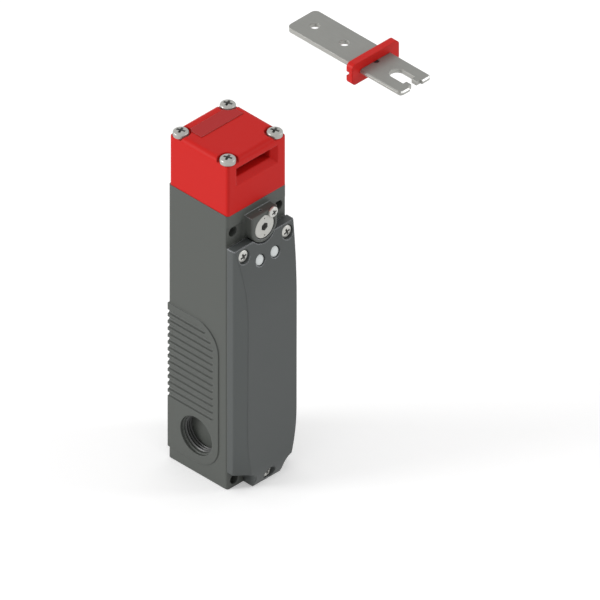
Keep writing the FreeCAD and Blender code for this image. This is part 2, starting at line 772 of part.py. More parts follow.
def cover_blank():
    """The bowed cover, hollow behind, with the mouth for the release block and notches at the foot."""
    body = new_body("cover_blank")
    sketch = new_sketch(body, "bowed_profile", "YZ", "-cover_half")
    outline(sketch, ("-body_front", "0"), ("-body_front", "cover_top"),
            ("bulge_y - sqrt(bulge_r ^ 2 - bulge_high ^ 2)", "cover_top"),
            ("-cover_front", "bulge_low", "bulge_y", "bulge_low", 1),
            ("-cover_chin", "chin_z"),
            ("chin_y - sqrt(chin_r ^ 2 - chin_z ^ 2)", "0", "chin_y", "chin_z", 1))
    feature("Pad", body, sketch, "2 * cover_half")

    # vertical chamfers down both sides
    for side, name in ((-1, "left"), (1, "right")):
        sketch = new_sketch(body, f"{name}_chamfer", "XY", "crease_bend")
        chamfer_section(sketch, side, "cover_crease")
        feature("Pocket", body, sketch, "cover_top - crease_bend + overrun", reverse=True)

    # mouth round the release block, and notches that bare the lower fixing holes
    sketch = new_sketch(body, "release_mouth", "XZ", "body_front - overrun")
    ring(sketch, "0", "release_z", "block_half + cover_gap")
    feature("Pocket", body, sketch, "cover_front", reverse=True)
    sketch = new_sketch(body, "foot_notches", "XZ", "body_front - overrun")
    for side in (-1, 1):
        hole, inner = f"{side} * fixing_pitch / 2", f"{side} * (fixing_pitch / 2 - notch_r)"
        outer, high = f"{side} * (cover_half + overrun)", "fixing_low + notch_r"
        outline(sketch, (inner, "-overrun"), (inner, "fixing_low"), (hole, high, hole, "fixing_low", -side),
                (outer, high), (outer, "-overrun"))
    feature("Pocket", body, sketch, "cover_front", reverse=True)

    # hollow behind, and stepped holes for the screws
    block(body, "cover_cavity", ("-cover_cavity_width / 2", "cover_cavity_width / 2"),
          ("-cover_cavity_front", "-body_front + overrun"), ("cover_cavity_low", "cover_cavity_high"),
          "Pocket")
    for name, x, height, face in cover_screw_places():
        for step, lift, radius in (("recess", f"{face} - cover_screw_head_deep",
                                    "cover_screw_head_r + screw_recess_gap"),
                                   ("hole", "body_front - overrun", "cover_screw_r + fit_gap")):
            sketch = new_sketch(body, f"{name}_{step}", "XZ", lift)
            ring(sketch, x, height, radius)
            feature("Pocket", body, sketch, "cover_front", reverse=True)
    return body


def cover_screw_places():
    """Name, X, Z and face of each of the three cover screws."""
    yield "left_cover_screw", "-cover_screw_x", "cover_screw_z", "cover_screw_face"
    yield "right_cover_screw", "cover_screw_x", "cover_screw_z", "cover_screw_face"
    yield "chin_screw", "0", "chin_screw_z", "chin_screw_face"


def chamfer_section(sketch, side, crease):
    """What a side chamfer takes off at one level: outside the line from the shoulder to the crease."""
    clear_x, clear_y = f"{side} * (cover_half + overrun)", "-cover_front - overrun"
    outline(sketch, (f"{side} * cover_half", "-cover_shoulder"), (f"{side} * {crease}", "-cover_front"),
            (f"{side} * {crease}", clear_y), (clear_x, clear_y), (clear_x, "-cover_shoulder"))


def chin_chamfers():
    """Below the bend the side chamfers widen: each is lofted through sections whose crease bows inward."""
    lofts = []
    for side, name in ((-1, "left"), (1, "right")):
        sections = []
        for level in range(CHIN_LEVELS):
            section = doc.addObject("Sketcher::SketchObject", f"{name}_chin_{level}")
            drop = f"crease_bend * {level} / {CHIN_LEVELS - 1}"
            place(section, z=f"crease_bend - {drop}")
            bow = f"(crease_bend_r - sqrt(crease_bend_r ^ 2 - ({drop}) ^ 2))"
            chamfer_section(section, side, f"(cover_crease - {bow})")
            sections.append(section)
        loft = doc.addObject("Part::Loft", f"{name}_chin_chamfer")
        loft.Sections = sections
        loft.Solid = True
        loft.Ruled = False
        lofts.append(loft)
    return lofts


def light_rod(name, side, radius, sunk, deep):
    """A bar square to the bowed face at a light window, from `sunk` to `deep` below that face."""
    item = doc.addObject("Part::Cylinder", name)
    item.Placement = FreeCAD.Placement(V(), FreeCAD.Rotation(V(1, 0, 0), 90))
    bind(item, "Placement.Rotation.Angle", "90 deg - light_tilt")
    bind(item, "Radius", radius)
    bind(item, "Height", f"({deep}) - ({sunk})")
    reach = f"(bulge_r - ({deep}))"
    return place(item, f"{side} * light_x", f"bulge_y - {reach} * cos(light_tilt)",
                 f"bulge_low + {reach} * sin(light_tilt)")


def front_cover():
    holes = [light_rod(f"{name}_light_hole", side, "light_r + fit_gap", "-overrun", "cover_deep + overrun")
             for side, name in ((-1, "left"), (1, "right"))]
    subpart(cut("front_cover", cover_blank(), *chin_chamfers(), *holes), "front_cover")


def cover_fittings():
    """Gasket, screws, light windows and the lamp board behind them."""
    body = new_body("cover_gasket")
    sketch = new_sketch(body, "cover_gasket_band", "XZ", "body_front - gasket_deep")
    cover_band(sketch, "gasket_width - 2 * fit_gap")
    feature("Pad", body, sketch, "gasket_deep")
    subpart(body, "cover_gasket")

    screws = []
    for name, x, height, face in cover_screw_places():
        screws.append(screw(name, "y", x, ("-cover_screw_end", f"-({face} - cover_screw_head_deep)"),
                            height, "cover_screw_head_deep", "cover_screw_head_r", "cover_screw_r", -1))
    subpart(group("cover_screws", *screws), "cover_screws")

    windows = [light_rod(f"light_window_{number}", side, "light_r", "light_sunk",
                         "light_sunk + light_long") for number, side in ((1, -1), (2, 1))]
    subpart(group("light_windows", *windows), "light_windows")

    subpart(box("lamp_board", ("-board_width / 2", "board_width / 2"),
                ("-body_front", "-body_front + board_thick"), ("board_low", "cavity_top - part_gap")),
            "lamp_board")
    lamps = [rod(f"lamp_{number}", "y", f"{side} * light_x", ("-body_front - lamp_long", "-body_front"),
                 "light_z - lamp_drop", "lamp_r") for number, side in ((1, -1), (2, 1))]
    subpart(group("signal_lamps", *lamps), "signal_lamps")


# ---------------------------------------------------------------- operating head

def head_shell():
    """The red head: a square die-casting with a tongue slot in a 45 degree funnel."""
    body = new_body("head_shell")
    block(body, "head_block", ("-head_half_x", "head_half_x"), ("-head_half_y", "head_half_y"),
          ("body_height", "head_top"))
    dress("Fillet", body, "head_corner", upright)
    top = size("head_top")
    dress("Fillet", body, "head_top_round", lambda edge: edge.BoundBox.ZMin > top - TINY)

    block(body, "cam_chamber", ("-chamber_x", "chamber_x"), ("-chamber_y", "chamber_y"),
          ("body_height - overrun", "head_top - chamber_roof"), "Pocket")
    block(body, "tongue_slot", ("-slot_half", "slot_half"),
          ("-head_half_y - overrun", "-chamber_y + overrun"), ("slot_z - slot_up", "slot_z + slot_up"),
          "Pocket")
    sections = []
    for name, lift, grow in (("funnel_mouth", "head_half_y", "funnel_grow"),
                             ("funnel_throat", "head_half_y - funnel_deep", "0")):
        sketch = new_sketch(body, name, "XZ", lift)
        across, low, high = f"(slot_half + {grow})", f"slot_z - slot_up - {grow}", f"slot_z + slot_up + {grow}"
        outline(sketch, (f"-{across}", low), (across, low), (across, high), (f"-{across}", high))
        sections.append(sketch)
    funnel = body.newObject("PartDesign::SubtractiveLoft", "funnel")
    funnel.Profile = sections[0]
    funnel.Sections = [sections[1]]
    doc.recompute()

    for name, level, radius, deep in (
        ("screw_pockets", "head_top", "head_pocket_r", "head_pocket_deep"),
        ("screw_holes", "head_pocket_floor", "head_screw_r + fit_gap", "head_height"),
    ):
        sketch = new_sketch(body, name, "XY", level)
        for _, x, y in corners_of("head_screw_x", "head_screw_y"):
            ring(sketch, x, y, radius)
        feature("Pocket", body, sketch, deep)
    block(body, "plate_seat", *plate_span("0"), ("plate_floor", "head_top + overrun"), "Pocket")
    subpart(body, "head_shell")


def plate_span(gap):
    """X and Y span of the plate on the head's top, less a gap all round."""
    return ((f"head_plate_x - plate_half + {gap}", f"head_plate_x + plate_half - {gap}"),
            (f"plate_y - head_plate_wide / 2 + {gap}", f"plate_y + head_plate_wide / 2 - {gap}"))


def head_fittings():
    """Plate, gasket and the four screws that hold the head."""
    plate = box("head_plate_blank", *plate_span("fit_gap"), ("plate_floor", "plate_top"))
    corners, screws = [], []
    for number, x, y in corners_of("head_screw_x", "head_screw_y"):
        screws.append(screw(f"head_screw_{number}", "z", x, y,
                            ("body_height - head_screw_grip", "head_pocket_floor"),
                            "head_screw_head_deep", "head_screw_head_r", "head_screw_r"))
        corners.append(rod(f"plate_corner_{number}", "z", x, y,
                           ("plate_floor - overrun", "plate_top + overrun"), "head_pocket_r + fit_gap"))
    subpart(cut("head_plate", plate, *corners), "head_plate")
    subpart(group("head_screws", *screws), "head_screws")

    body = new_body("head_gasket")
    sketch = new_sketch(body, "head_gasket_ring", "XY", "body_height - gasket_deep")
    head_band(sketch, "head_gasket_width - 2 * fit_gap")
    feature("Pad", body, sketch, "gasket_deep")
    subpart(body, "head_gasket")


# ---------------------------------------------------------------- cam in the head

def cam_carrier():
    """A bracket on the housing's top, inside the head: a base plate and two cheeks for the cam's axle."""
    through = ("body_height - overrun", "carrier_top + overrun")
    base = box("carrier_plate", ("-chamber_x + part_gap", "chamber_x - part_gap"),
               ("-chamber_y + part_gap", "chamber_y - part_gap"), ("body_height", "carrier_top"))
    cheeks = [box(f"{name}_cheek", span, ("cam_y - cheek_half", "cam_y + cheek_half"),
                  ("body_height", "cam_z + cheek_half"))
              for name, span in (("left", ("-cheek_outer", "-cheek_inner")),
                                 ("right", ("cheek_inner", "cheek_outer")))]
    holes = [
        rod("axle_bore", "x", ("-cheek_outer - overrun", "cheek_outer + overrun"), "cam_y", "cam_z",
            "axle_r + fit_gap"),
        rod("rod_guide", "z", "-rod_x", "cam_y", through, "rod_r + fit_gap"),
        box("cam_well", ("-cam_thick / 2 - part_gap", "cam_thick / 2 + part_gap"),
            ("cam_y - cam_well_half", "cam_y + cam_well_half"), through),
        box("finger_well", ("finger_left - part_gap", "slide_right + part_gap"),
            ("cam_y - finger_thick / 2 - part_gap", "finger_back + part_gap"), through),
    ]
    subpart(cut("cam_carrier", fuse("carrier_blank", base, *cheeks), *holes), "cam_carrier")
    subpart(rod("cam_axle", "x", ("-cheek_outer", "cheek_outer"), "cam_y", "cam_z", "axle_r"), "cam_axle")


def turned_box(name, x, y, z, angle):
    """A block whose y and z spans are measured from the cam's axle, turned about it by an angle."""
    item = box(name, x, y, z)
    item.Placement = FreeCAD.Placement(V(), FreeCAD.Rotation(V(1, 0, 0), 1))
    bind(item, "Placement.Rotation.Angle", angle)
    return place(item, x[0], f"cam_y + ({y[0]}) * cos({angle}) - ({z[0]}) * sin({angle})",
                 f"cam_z + ({y[0]}) * sin({angle}) + ({z[0]}) * cos({angle})")


def actuating_cam():
    """One moulding on one hub: a middle disc with the notch that takes the tongue's lips, an eccentric
    that works the push rod, and a slotted disc for the lock finger."""
    disc_end, disc_face = "cam_thick / 2", "cam_thick / 2 + cam_disc_gap"
    hub = rod("cam_hub", "x", ("-cam_half", "cam_half"), "cam_y", "cam_z", "cam_hub_r")
    disc = rod("tongue_disc", "x", (f"-{disc_end}", disc_end), "cam_y", "cam_z", "cam_r")
    throw = rod("rod_throw", "x", ("-cam_half", f"-{disc_end} + overrun / 2"), "cam_y + throw_y",
                "cam_z + throw_z", "throw_r")
    lock = rod("lock_disc", "x", (f"{disc_end} - overrun / 2", "cam_half"), "cam_y", "cam_z", "lock_disc_r")
    notch = turned_box("tongue_notch", ("-cam_thick", "cam_thick"),
                       ("-cam_notch_width / 2", "cam_notch_width / 2"),
                       ("cam_notch_root", "cam_r + overrun"), "cam_notch_angle")
    slots = [turned_box(f"lock_slot_{number}", (disc_face, "cam_half + overrun"),
                        ("-lock_slot_width / 2", "lock_slot_width / 2"),
                        ("-lock_disc_r - overrun", "-lock_disc_r + lock_slot_deep"), angle)
             for number, angle in ((1, "0"), (2, "cam_turn"))]
    bore = rod("cam_bore", "x", ("-cam_half - overrun", "cam_half + overrun"), "cam_y", "cam_z",
               "cam_bore_r")
    blank = fuse("cam_blank", hub, disc, throw, lock)
    subpart(cut("actuating_cam", blank, bore, notch, *slots), "actuating_cam")


# ---------------------------------------------------------------- push rod and contacts

CONTACT_SIDES = ((-1, "left"), (1, "right"))


def push_rod():
    """A domed rod below the cam's eccentric, with a foot that bears on both contact plungers."""
    dome = doc.addObject("Part::Sphere", "rod_dome")
    bind(dome, "Radius", "rod_r")
    place(dome, "-rod_x", "cam_y", "dome_z")
    stem = rod("rod_stem", "z", "-rod_x", "cam_y", ("foot_low", "dome_z"), "rod_r")
    foot = box("rod_foot", ("-foot_half", "foot_half"),
               ("cam_y - rod_r", "contact_y + plunger_r + foot_lap"), ("foot_low", "foot_top"))
    subpart(fuse("push_rod", dome, stem, foot), "push_rod")

    plungers, bridges = [], []
    for side, name in CONTACT_SIDES:
        x = f"{side} * contact_x"
        plungers.append(rod(f"{name}_plunger", "z", x, "contact_y", ("plunger_end", "foot_low"), "plunger_r"))
        plate = box(f"{name}_bridge_plate", (f"{x} - bridge_wide / 2", f"{x} + bridge_wide / 2"),
                    ("contact_y - bridge_long / 2", "contact_y + bridge_long / 2"),
                    ("bridge_z", "bridge_z + bridge_thick"))
        hole = rod(f"{name}_bridge_hole", "z", x, "contact_y",
                   ("bridge_z - overrun", "bridge_z + bridge_thick + overrun"), "plunger_r + fit_gap")
        bridges.append(cut(f"{name}_bridge", plate, hole))
    subpart(group("contact_plungers", *plungers), "contact_plungers")
    subpart(group("contact_bridges", *bridges), "contact_bridges")


def contact_block():
    """The switching insert: two bays with a bridge and two fixed contacts each."""
    blank = box("contact_block_blank", ("-insert_half", "insert_half"), ("insert_front", "insert_back"),
                ("insert_low", "insert_high"))
    tools, strips = [], []
    for side, name in CONTACT_SIDES:
        x = f"{side} * contact_x"
        tools.append(box(f"{name}_contact_bay", (f"{x} - contact_bay_wide / 2", f"{x} + contact_bay_wide / 2"),
                         ("contact_y - contact_bay_long / 2", "contact_y + contact_bay_long / 2"),
                         ("contact_bay_low", "contact_bay_high")))
        tools.append(rod(f"{name}_plunger_bore", "z", x, "contact_y",
                         ("contact_bay_low", "insert_high + overrun"), "plunger_r + fit_gap"))
        for face, end in ((-1, "front"), (1, "back")):
            y = f"contact_y + {face} * contact_strip_y"
            span = (f"{x} - contact_strip_wide / 2", f"{x} + contact_strip_wide / 2")
            depth = (f"{y} - contact_strip_thick / 2", f"{y} + contact_strip_thick / 2")
            strips.append(box(f"{name}_{end}_contact", span, depth, ("terminal_high", "contact_strip_top")))
            tools.append(box(f"{name}_{end}_contact_slot", (f"{span[0]} - fit_gap", f"{span[1]} + fit_gap"),
                             (f"{depth[0]} - fit_gap", f"{depth[1]} + fit_gap"),
                             ("insert_low - overrun", "contact_bay_low + overrun")))
    tools.append(rod("spring_bay", "z", "0", "contact_y", ("spring_seat", "insert_high + overrun"),
                     "spring_bay_r"))
    subpart(cut("contact_block", blank, *tools), "contact_block")
    subpart(group("fixed_contacts", *strips), "fixed_contacts")


def coil_spring(name, x, y, low, high, radius, wire, pitch):
    """A compression spring between two levels, its wire drawn with six flats."""
    helix = doc.addObject("Part::Helix", f"{name}_helix")
    bind(helix, "Radius", radius)
    bind(helix, "Pitch", pitch)
    bind(helix, "Height", f"{high} - {low} - 2 * {wire}")
    section = doc.addObject("Part::RegularPolygon", f"{name}_wire")
    section.Polygon = 6
    section.Placement = FreeCAD.Placement(V(), FreeCAD.Rotation(V(1, 0, 0), 90))
    bind(section, "Circumradius", wire)
    bind(section, "Placement.Base.x", radius)
    sweep = doc.addObject("Part::Sweep", f"{name}_sweep")
    sweep.Sections = [section]
    sweep.Spine = (helix, ["Edge1"])
    sweep.Solid = True
    sweep.Frenet = True
    return subpart(place(sweep, x, y, f"{low} + {wire}"), name)


def terminals():
    """Terminal block with its eight clamp screws, and the earth screw on the cavity's shelf."""
    blank = box("terminal_blank", ("-insert_half", "insert_half"), ("insert_front", "insert_back"),
                ("terminal_low", "terminal_high"))
    screws, holes = [], []
    for row, height in enumerate(("terminal_row_low", "terminal_row_high"), 1):
        for column, step in enumerate((-1.5, -0.5, 0.5, 1.5), 1):
            x, name = f"{step} * terminal_pitch", f"terminal_screw_{row}_{column}"
            screws.append(screw(name, "y", x, ("insert_front + terminal_screw_long", "insert_front"), height,
                                "terminal_screw_head_deep", "terminal_screw_head_r", "terminal_screw_r", -1))
            holes.append(rod(f"{name}_hole", "y", x,
                             ("insert_front - overrun", "insert_front + terminal_screw_long + part_gap"),
                             height, "terminal_screw_r + fit_gap"))
    subpart(cut("terminal_block", blank, *holes), "terminal_block")
    subpart(group("terminal_screws", *screws), "terminal_screws")
    subpart(screw("earth_screw", "z", "earth_screw_x", "-earth_screw_y",
                  ("cavity_floor - earth_screw_long", "cavity_floor"), "terminal_screw_head_deep",
                  "earth_screw_head_r", "terminal_screw_r"), "earth_screw")


# ---------------------------------------------------------------- solenoid and lock slide

SLIDE_Y = ("-slide_front", "-slide_back")


def solenoid():
    """Coil, bent frame and core."""
    outer = rod("coil_outer", "z", "0", "-coil_y", ("coil_low", "coil_high"), "coil_r")
    inner = rod("coil_inner", "z", "0", "-coil_y", ("coil_low - overrun", "coil_high + overrun"),
                "coil_bore_r")
    subpart(cut("solenoid_coil", outer, inner), "solenoid_coil")

    wide, deep = ("-frame_half", "frame_half"), ("-coil_y - coil_r", "insert_front")
    low, high = "coil_low - frame_plate", "coil_high + frame_plate"
    plates = [box("frame_back", wide, ("coil_r - coil_y", "insert_front"), (low, high)),
              box("frame_foot", wide, deep, (low, "coil_low")),
              box("frame_top", wide, deep, ("coil_high", high))]
    hole = rod("frame_hole", "z", "0", "-coil_y", ("coil_high - overrun", f"{high} + overrun"),
               "coil_bore_r")
    subpart(cut("solenoid_frame", fuse("frame_blank", *plates), hole), "solenoid_frame")

    core = rod("core_bar", "z", "0", "-coil_y", ("core_low", "core_high"), "core_r")
    slot = box("core_slot", ("-core_r - overrun", "core_r + overrun"),
               (f"{SLIDE_Y[0]} - fit_gap", f"{SLIDE_Y[1]} + fit_gap"),
               ("slide_tail_low", "core_high + overrun"))
    subpart(cut("solenoid_core", core, slot), "solenoid_core")


def lock_slide():
    """A flat slide: its tail hangs the core, its window takes the release pin and its finger locks
    the cam."""
    finger_x = ("finger_left", "slide_right")
    plates = [
        box("slide_tail", ("-slide_tail_half", "slide_tail_half"), SLIDE_Y,
            ("slide_tail_low", "slide_low + overrun")),
        box("slide_plate", ("-slide_left", "slide_right"), SLIDE_Y, ("slide_low", "slide_high")),
        box("slide_arm", finger_x, (SLIDE_Y[0], "finger_back"), ("slide_arm_low", "slide_high")),
        box("slide_finger", finger_x, ("cam_y - finger_thick / 2", "finger_back"),
            ("slide_arm_low", "finger_top")),
    ]
    window = box("release_window", ("-window_half", "window_half"),
                 (f"{SLIDE_Y[0]} - overrun", f"{SLIDE_Y[1]} + overrun"),
                 ("release_z - window_low", "release_z + window_high"))
    subpart(cut("lock_slide", fuse("slide_blank", *plates), window), "lock_slide")


# ---------------------------------------------------------------- manual release

def release():
    """Dial with a hexagon socket, its shaft with an eccentric pin, the seal ring and the lock screw."""
    body = new_body("release_dial")
    sketch = new_sketch(body, "dial_disc", "XZ", "release_back")
    ring(sketch, "0", "release_z", "release_r")
    feature("Pad", body, sketch, "release_deep")
    sketch = new_sketch(body, "hex_socket", "XZ", "release_face")
    outline(sketch, *((f"release_hex / sqrt(3) * cos({angle})",
                       f"release_z + release_hex / sqrt(3) * sin({angle})")
                      for angle in range(30, 390, 60)))
    feature("Pocket", body, sketch, "release_hex_deep")
    face, wide = size("release_face"), size("release_r")
    dress("Chamfer", body, "release_bevel",
          lambda edge: abs(edge.BoundBox.YMin + face) < TINY and edge.BoundBox.XLength > wide)
    subpart(body, "release_dial")

    shaft = rod("release_journal", "y", "0", ("-release_back", "-release_shaft_end"), "release_z",
                "release_shaft_r")
    pin = rod("release_pin", "y", "0", ("-release_shaft_end", "-release_pin_end"),
              "release_z - release_throw", "release_pin_r")
    subpart(fuse("release_shaft", shaft, pin), "release_shaft")

    front = "-(release_back - part_gap)"
    bay = (front, f"{front} + seal_ring_bay_deep - fit_gap")
    seal = rod("seal_blank", "y", "0", bay, "release_z", "release_shaft_r + seal_ring_wide + fit_gap")
    hole = rod("seal_bore", "y", "0", (f"{bay[0]} - overrun", f"{bay[1]} + overrun"), "release_z",
               "release_shaft_r + fit_gap")
    subpart(cut("shaft_seal", seal, hole), "shaft_seal")

    subpart(screw("release_lock_screw", "y", "lock_screw_x",
                  ("-block_front + lock_screw_long", "-block_front"), "lock_screw_z",
                  "lock_screw_head_deep", "lock_screw_head_r", "lock_screw_r", -1), "release_lock_screw")


# ---------------------------------------------------------------- tongue

def tongue():
    """The flat steel tongue, drawn with its tip at the local origin and its tail towards +Y."""
    body = new_body("tongue")
    sketch = new_sketch(body, "tongue_plan", "XY", "-tongue_thick / 2")
    fork, tail, root = "tongue_fork_wide / 2", "tongue_wide / 2", "(fork_end - fork_half)"
    fork_arc, tail_arc = f"({fork} - tongue_tip_round)", f"({tail} - tongue_rear_round)"
    tail_y = "tongue_long - tongue_rear_round"
    right = [
        ("lip_half", "lip_back"), ("lip_half", "lip_front"), ("prong_inner", "lip_front"),
        ("prong_inner", "0"), (fork_arc, "0"),
        (fork, "tongue_tip_round", fork_arc, "tongue_tip_round", 1),
        (fork, "tongue_fork_long"), (tail, "tongue_fork_long"), (tail, tail_y),
        (tail_arc, "tongue_long", tail_arc, tail_y, 1),
    ]
    left = [
        (f"-{tail_arc}", "tongue_long"), (f"-{tail}", tail_y, f"-{tail_arc}", tail_y, 1),
        (f"-{tail}", "tongue_fork_long"), (f"-{fork}", "tongue_fork_long"),
        (f"-{fork}", "tongue_tip_round"),
        (f"-{fork_arc}", "0", f"-{fork_arc}", "tongue_tip_round", 1),
        ("-prong_inner", "0"), ("-prong_inner", "lip_front"), ("-lip_half", "lip_front"),
        ("-lip_half", "lip_back"), ("-fork_half", "lip_back"), ("-fork_half", root),
        ("fork_half", root, "0", root, -1), ("fork_half", "lip_back"),
    ]
    outline(sketch, *right, *left)
    feature("Pad", body, sketch, "tongue_thick")
    sketch = new_sketch(body, "tongue_holes", "XY", "tongue_thick / 2")
    ring(sketch, "0", "tongue_long - tongue_hole_end", "tongue_hole_r")
    ring(sketch, "0", "tongue_long - tongue_hole_end - tongue_hole_pitch", "tongue_hole_r")
    ring(sketch, "0", "tongue_fork_long - peg_hole_inset", "peg_hole_r")
    feature("Pocket", body, sketch, "tongue_thick")
    dress("Chamfer", body, "tongue_tip_bevel",
          lambda edge: edge.BoundBox.YMax < TINY and edge.BoundBox.ZLength < TINY)
    subpart(place(body, "tongue_x", "-tongue_tip_y", "slot_z"), "tongue")


def tongue_collar():
    """The red stop collar, pushed on from the tail against the tongue's shoulders."""
    body = new_body("tongue_collar")
    across, up, back = "(tongue_wide / 2 + collar_rim)", "collar_high / 2", "(tongue_fork_long + collar_thick)"
    sketch = new_sketch(body, "collar_face", "XZ", f"-{back}")
    outline(sketch, (f"-{across}", f"-{up}"), (across, f"-{up}"), (across, up), (f"-{across}", up))
    feature("Pad", body, sketch, "collar_thick")
    long = size("collar_thick") - TINY
    dress("Fillet", body, "collar_round", lambda edge: edge.BoundBox.YLength > long)
    sketch = new_sketch(body, "collar_slot", "XZ", f"-{back}")
    wide, high = "(tongue_wide / 2 + fit_gap)", "(tongue_thick / 2 + fit_gap)"
    outline(sketch, (f"-{wide}", f"-{high}"), (wide, f"-{high}"), (wide, high), (f"-{wide}", high))
    feature("Pocket", body, sketch, "collar_thick", reverse=True)
    for name, span in (("left", (f"-{across} - overrun", f"-{across} + collar_notch_deep")),
                       ("right", (f"{across} - collar_notch_deep", f"{across} + overrun"))):
        block(body, f"{name}_notch", span, (f"{back} - collar_notch_deep", f"{back} + overrun"),
              ("-collar_notch_high / 2", "collar_notch_high / 2"), "Pocket")
    subpart(place(body, "tongue_x", "-tongue_tip_y", "slot_z"), "tongue_collar")


# ---------------------------------------------------------------- build

housing()
front_cover()
cover_fittings()
head_shell()
head_fittings()
cam_carrier()
actuating_cam()
push_rod()
contact_block()
coil_spring("rod_spring", "0", "contact_y", "spring_seat", "foot_low", "spring_r", "spring_wire_r",
            "spring_pitch")
terminals()
solenoid()
coil_spring("lock_spring", "0", "-coil_y", "coil_low", "core_low", "lock_spring_r", "lock_spring_wire_r",
            "lock_spring_pitch")
lock_slide()
release()
tongue()
tongue_collar()
doc.recompute()

for item in doc.Objects:
    if "Invalid" in item.State or "Error" in item.State:
        raise RuntimeError(f"{item.Label} failed: {item.State}")
os.makedirs("parts", exist_ok=True)
for item in SUBPARTS:
    shape = item.Shape
    if shape.isNull() or not shape.isValid() or not shape.Solids:
        raise RuntimeError(f"{item.Label} has no valid solid")
    shape.exportStep(f"parts/{item.Label}.step")
    print(item.Label, len(shape.Solids), round(shape.Volume, 2))
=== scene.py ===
"""Tongue interlock switch: the finishes, screws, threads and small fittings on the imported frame."""
import json
import math

import bmesh
import bpy
from mathutils import Matrix, Vector


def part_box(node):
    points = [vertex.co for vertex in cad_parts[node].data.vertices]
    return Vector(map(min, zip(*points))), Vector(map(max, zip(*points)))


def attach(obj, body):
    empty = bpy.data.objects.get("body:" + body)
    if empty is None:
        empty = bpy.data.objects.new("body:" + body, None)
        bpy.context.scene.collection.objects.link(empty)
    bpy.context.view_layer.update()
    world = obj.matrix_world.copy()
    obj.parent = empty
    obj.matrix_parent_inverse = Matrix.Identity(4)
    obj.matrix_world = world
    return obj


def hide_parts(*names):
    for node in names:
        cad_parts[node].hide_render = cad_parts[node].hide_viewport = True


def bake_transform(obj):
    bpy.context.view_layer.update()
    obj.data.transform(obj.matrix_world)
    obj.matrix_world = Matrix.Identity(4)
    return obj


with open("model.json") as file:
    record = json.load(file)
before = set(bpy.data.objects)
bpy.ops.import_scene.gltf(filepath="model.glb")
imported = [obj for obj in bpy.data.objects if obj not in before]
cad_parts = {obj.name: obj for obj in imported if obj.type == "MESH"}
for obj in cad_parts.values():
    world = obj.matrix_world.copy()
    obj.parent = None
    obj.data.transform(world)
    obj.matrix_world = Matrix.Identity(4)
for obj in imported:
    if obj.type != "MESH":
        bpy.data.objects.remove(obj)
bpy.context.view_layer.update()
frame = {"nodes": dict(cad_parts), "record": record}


# Studio
# A pale paper floor under a soft white sky, with a broad lamp on the left and a faint one on the right
# that puts a glint on rounded edges. The camera looks down on the front left corner at the isometric
# angle, with no perspective.

scene = bpy.context.scene
scene.view_settings.view_transform = "Standard"
white = (1.0, 1.0, 1.0, 1.0)


def seen_by_eye(tree):
    """1 for the rays that the camera, a gloss or a clear body sees directly, otherwise 0."""
    ray = tree.nodes.new("ShaderNodeLightPath")
    total = ray.outputs["Is Camera Ray"]
    for kind in ("Is Glossy Ray", "Is Transmission Ray"):
        either = tree.nodes.new("ShaderNodeMath")
        either.operation = "MAXIMUM"
        tree.links.new(total, either.inputs[0])
        tree.links.new(ray.outputs[kind], either.inputs[1])
        total = either.outputs[0]
    return total


sky_light = 0.68
world = bpy.data.worlds.new("studio")
scene.world = world
world.use_nodes = True
tree = world.node_tree
tree.nodes.clear()
sky_out = tree.nodes.new("ShaderNodeOutputWorld")
sky_mix = tree.nodes.new("ShaderNodeMixShader")
tree.links.new(seen_by_eye(tree), sky_mix.inputs["Fac"])
for socket, strength in ((1, sky_light), (2, 1.0)):
    sky = tree.nodes.new("ShaderNodeBackground")
    sky.inputs["Color"].default_value = white
    sky.inputs["Strength"].default_value = strength
    tree.links.new(sky.outputs[0], sky_mix.inputs[socket])
tree.links.new(sky_mix.outputs[0], sky_out.inputs["Surface"])

# The paper is bright enough to the eye to meet the white sky, and still takes the switch's full shadow.
# It lies a hair under the foot, so that the two faces aren't in one plane.
floor_size = 6.0
floor_gap = 0.0002
paper_colour = (0.9, 0.9, 0.9, 1.0)
paper_rough = 0.9
paper_lift = 0.3
floor_bm = bmesh.new()
bmesh.ops.create_grid(floor_bm, x_segments=1, y_segments=1, size=floor_size / 2,
                      matrix=Matrix.Translation((0.0, 0.0, -floor_gap)))
floor_mesh = bpy.data.meshes.new("studio_floor")
floor_bm.to_mesh(floor_mesh)
floor_bm.free()
floor = bpy.data.objects.new("studio_floor", floor_mesh)
scene.collection.objects.link(floor)
floor_paint = bpy.data.materials.new("floor_paper")
floor_paint.use_nodes = True
tree = floor_paint.node_tree
paper = tree.nodes["Principled BSDF"]
paper.inputs["Base Color"].default_value = paper_colour
paper.inputs["Roughness"].default_value = paper_rough
glow = tree.nodes.new("ShaderNodeEmission")
glow.inputs["Color"].default_value = white
lift = tree.nodes.new("ShaderNodeMath")
lift.operation = "MULTIPLY"
lift.inputs[1].default_value = paper_lift
tree.links.new(seen_by_eye(tree), lift.inputs[0])
tree.links.new(lift.outputs[0], glow.inputs["Strength"])
both = tree.nodes.new("ShaderNodeAddShader")
tree.links.new(paper.outputs[0], both.inputs[0])
tree.links.new(glow.outputs[0], both.inputs[1])
tree.links.new(both.outputs[0], tree.nodes["Material Output"].inputs["Surface"])
floor_mesh.materials.append(floor_paint)

# Each lamp: its strength, how wide it looks in degrees, and the way to it
for name, energy, spread, towards in (("left_window", 1.6, 25, (-0.78, 0.56, 0.28)),
                                      ("right_glint", 0.45, 12, (0.577, -0.577, 0.40))):
    sun = bpy.data.lights.new(name, "SUN")
    sun.energy = energy
    sun.angle = math.radians(spread)
    lamp = bpy.data.objects.new(name, sun)
    scene.collection.objects.link(lamp)
    lamp.rotation_euler = Vector(towards).to_track_quat("Z", "Y").to_euler()

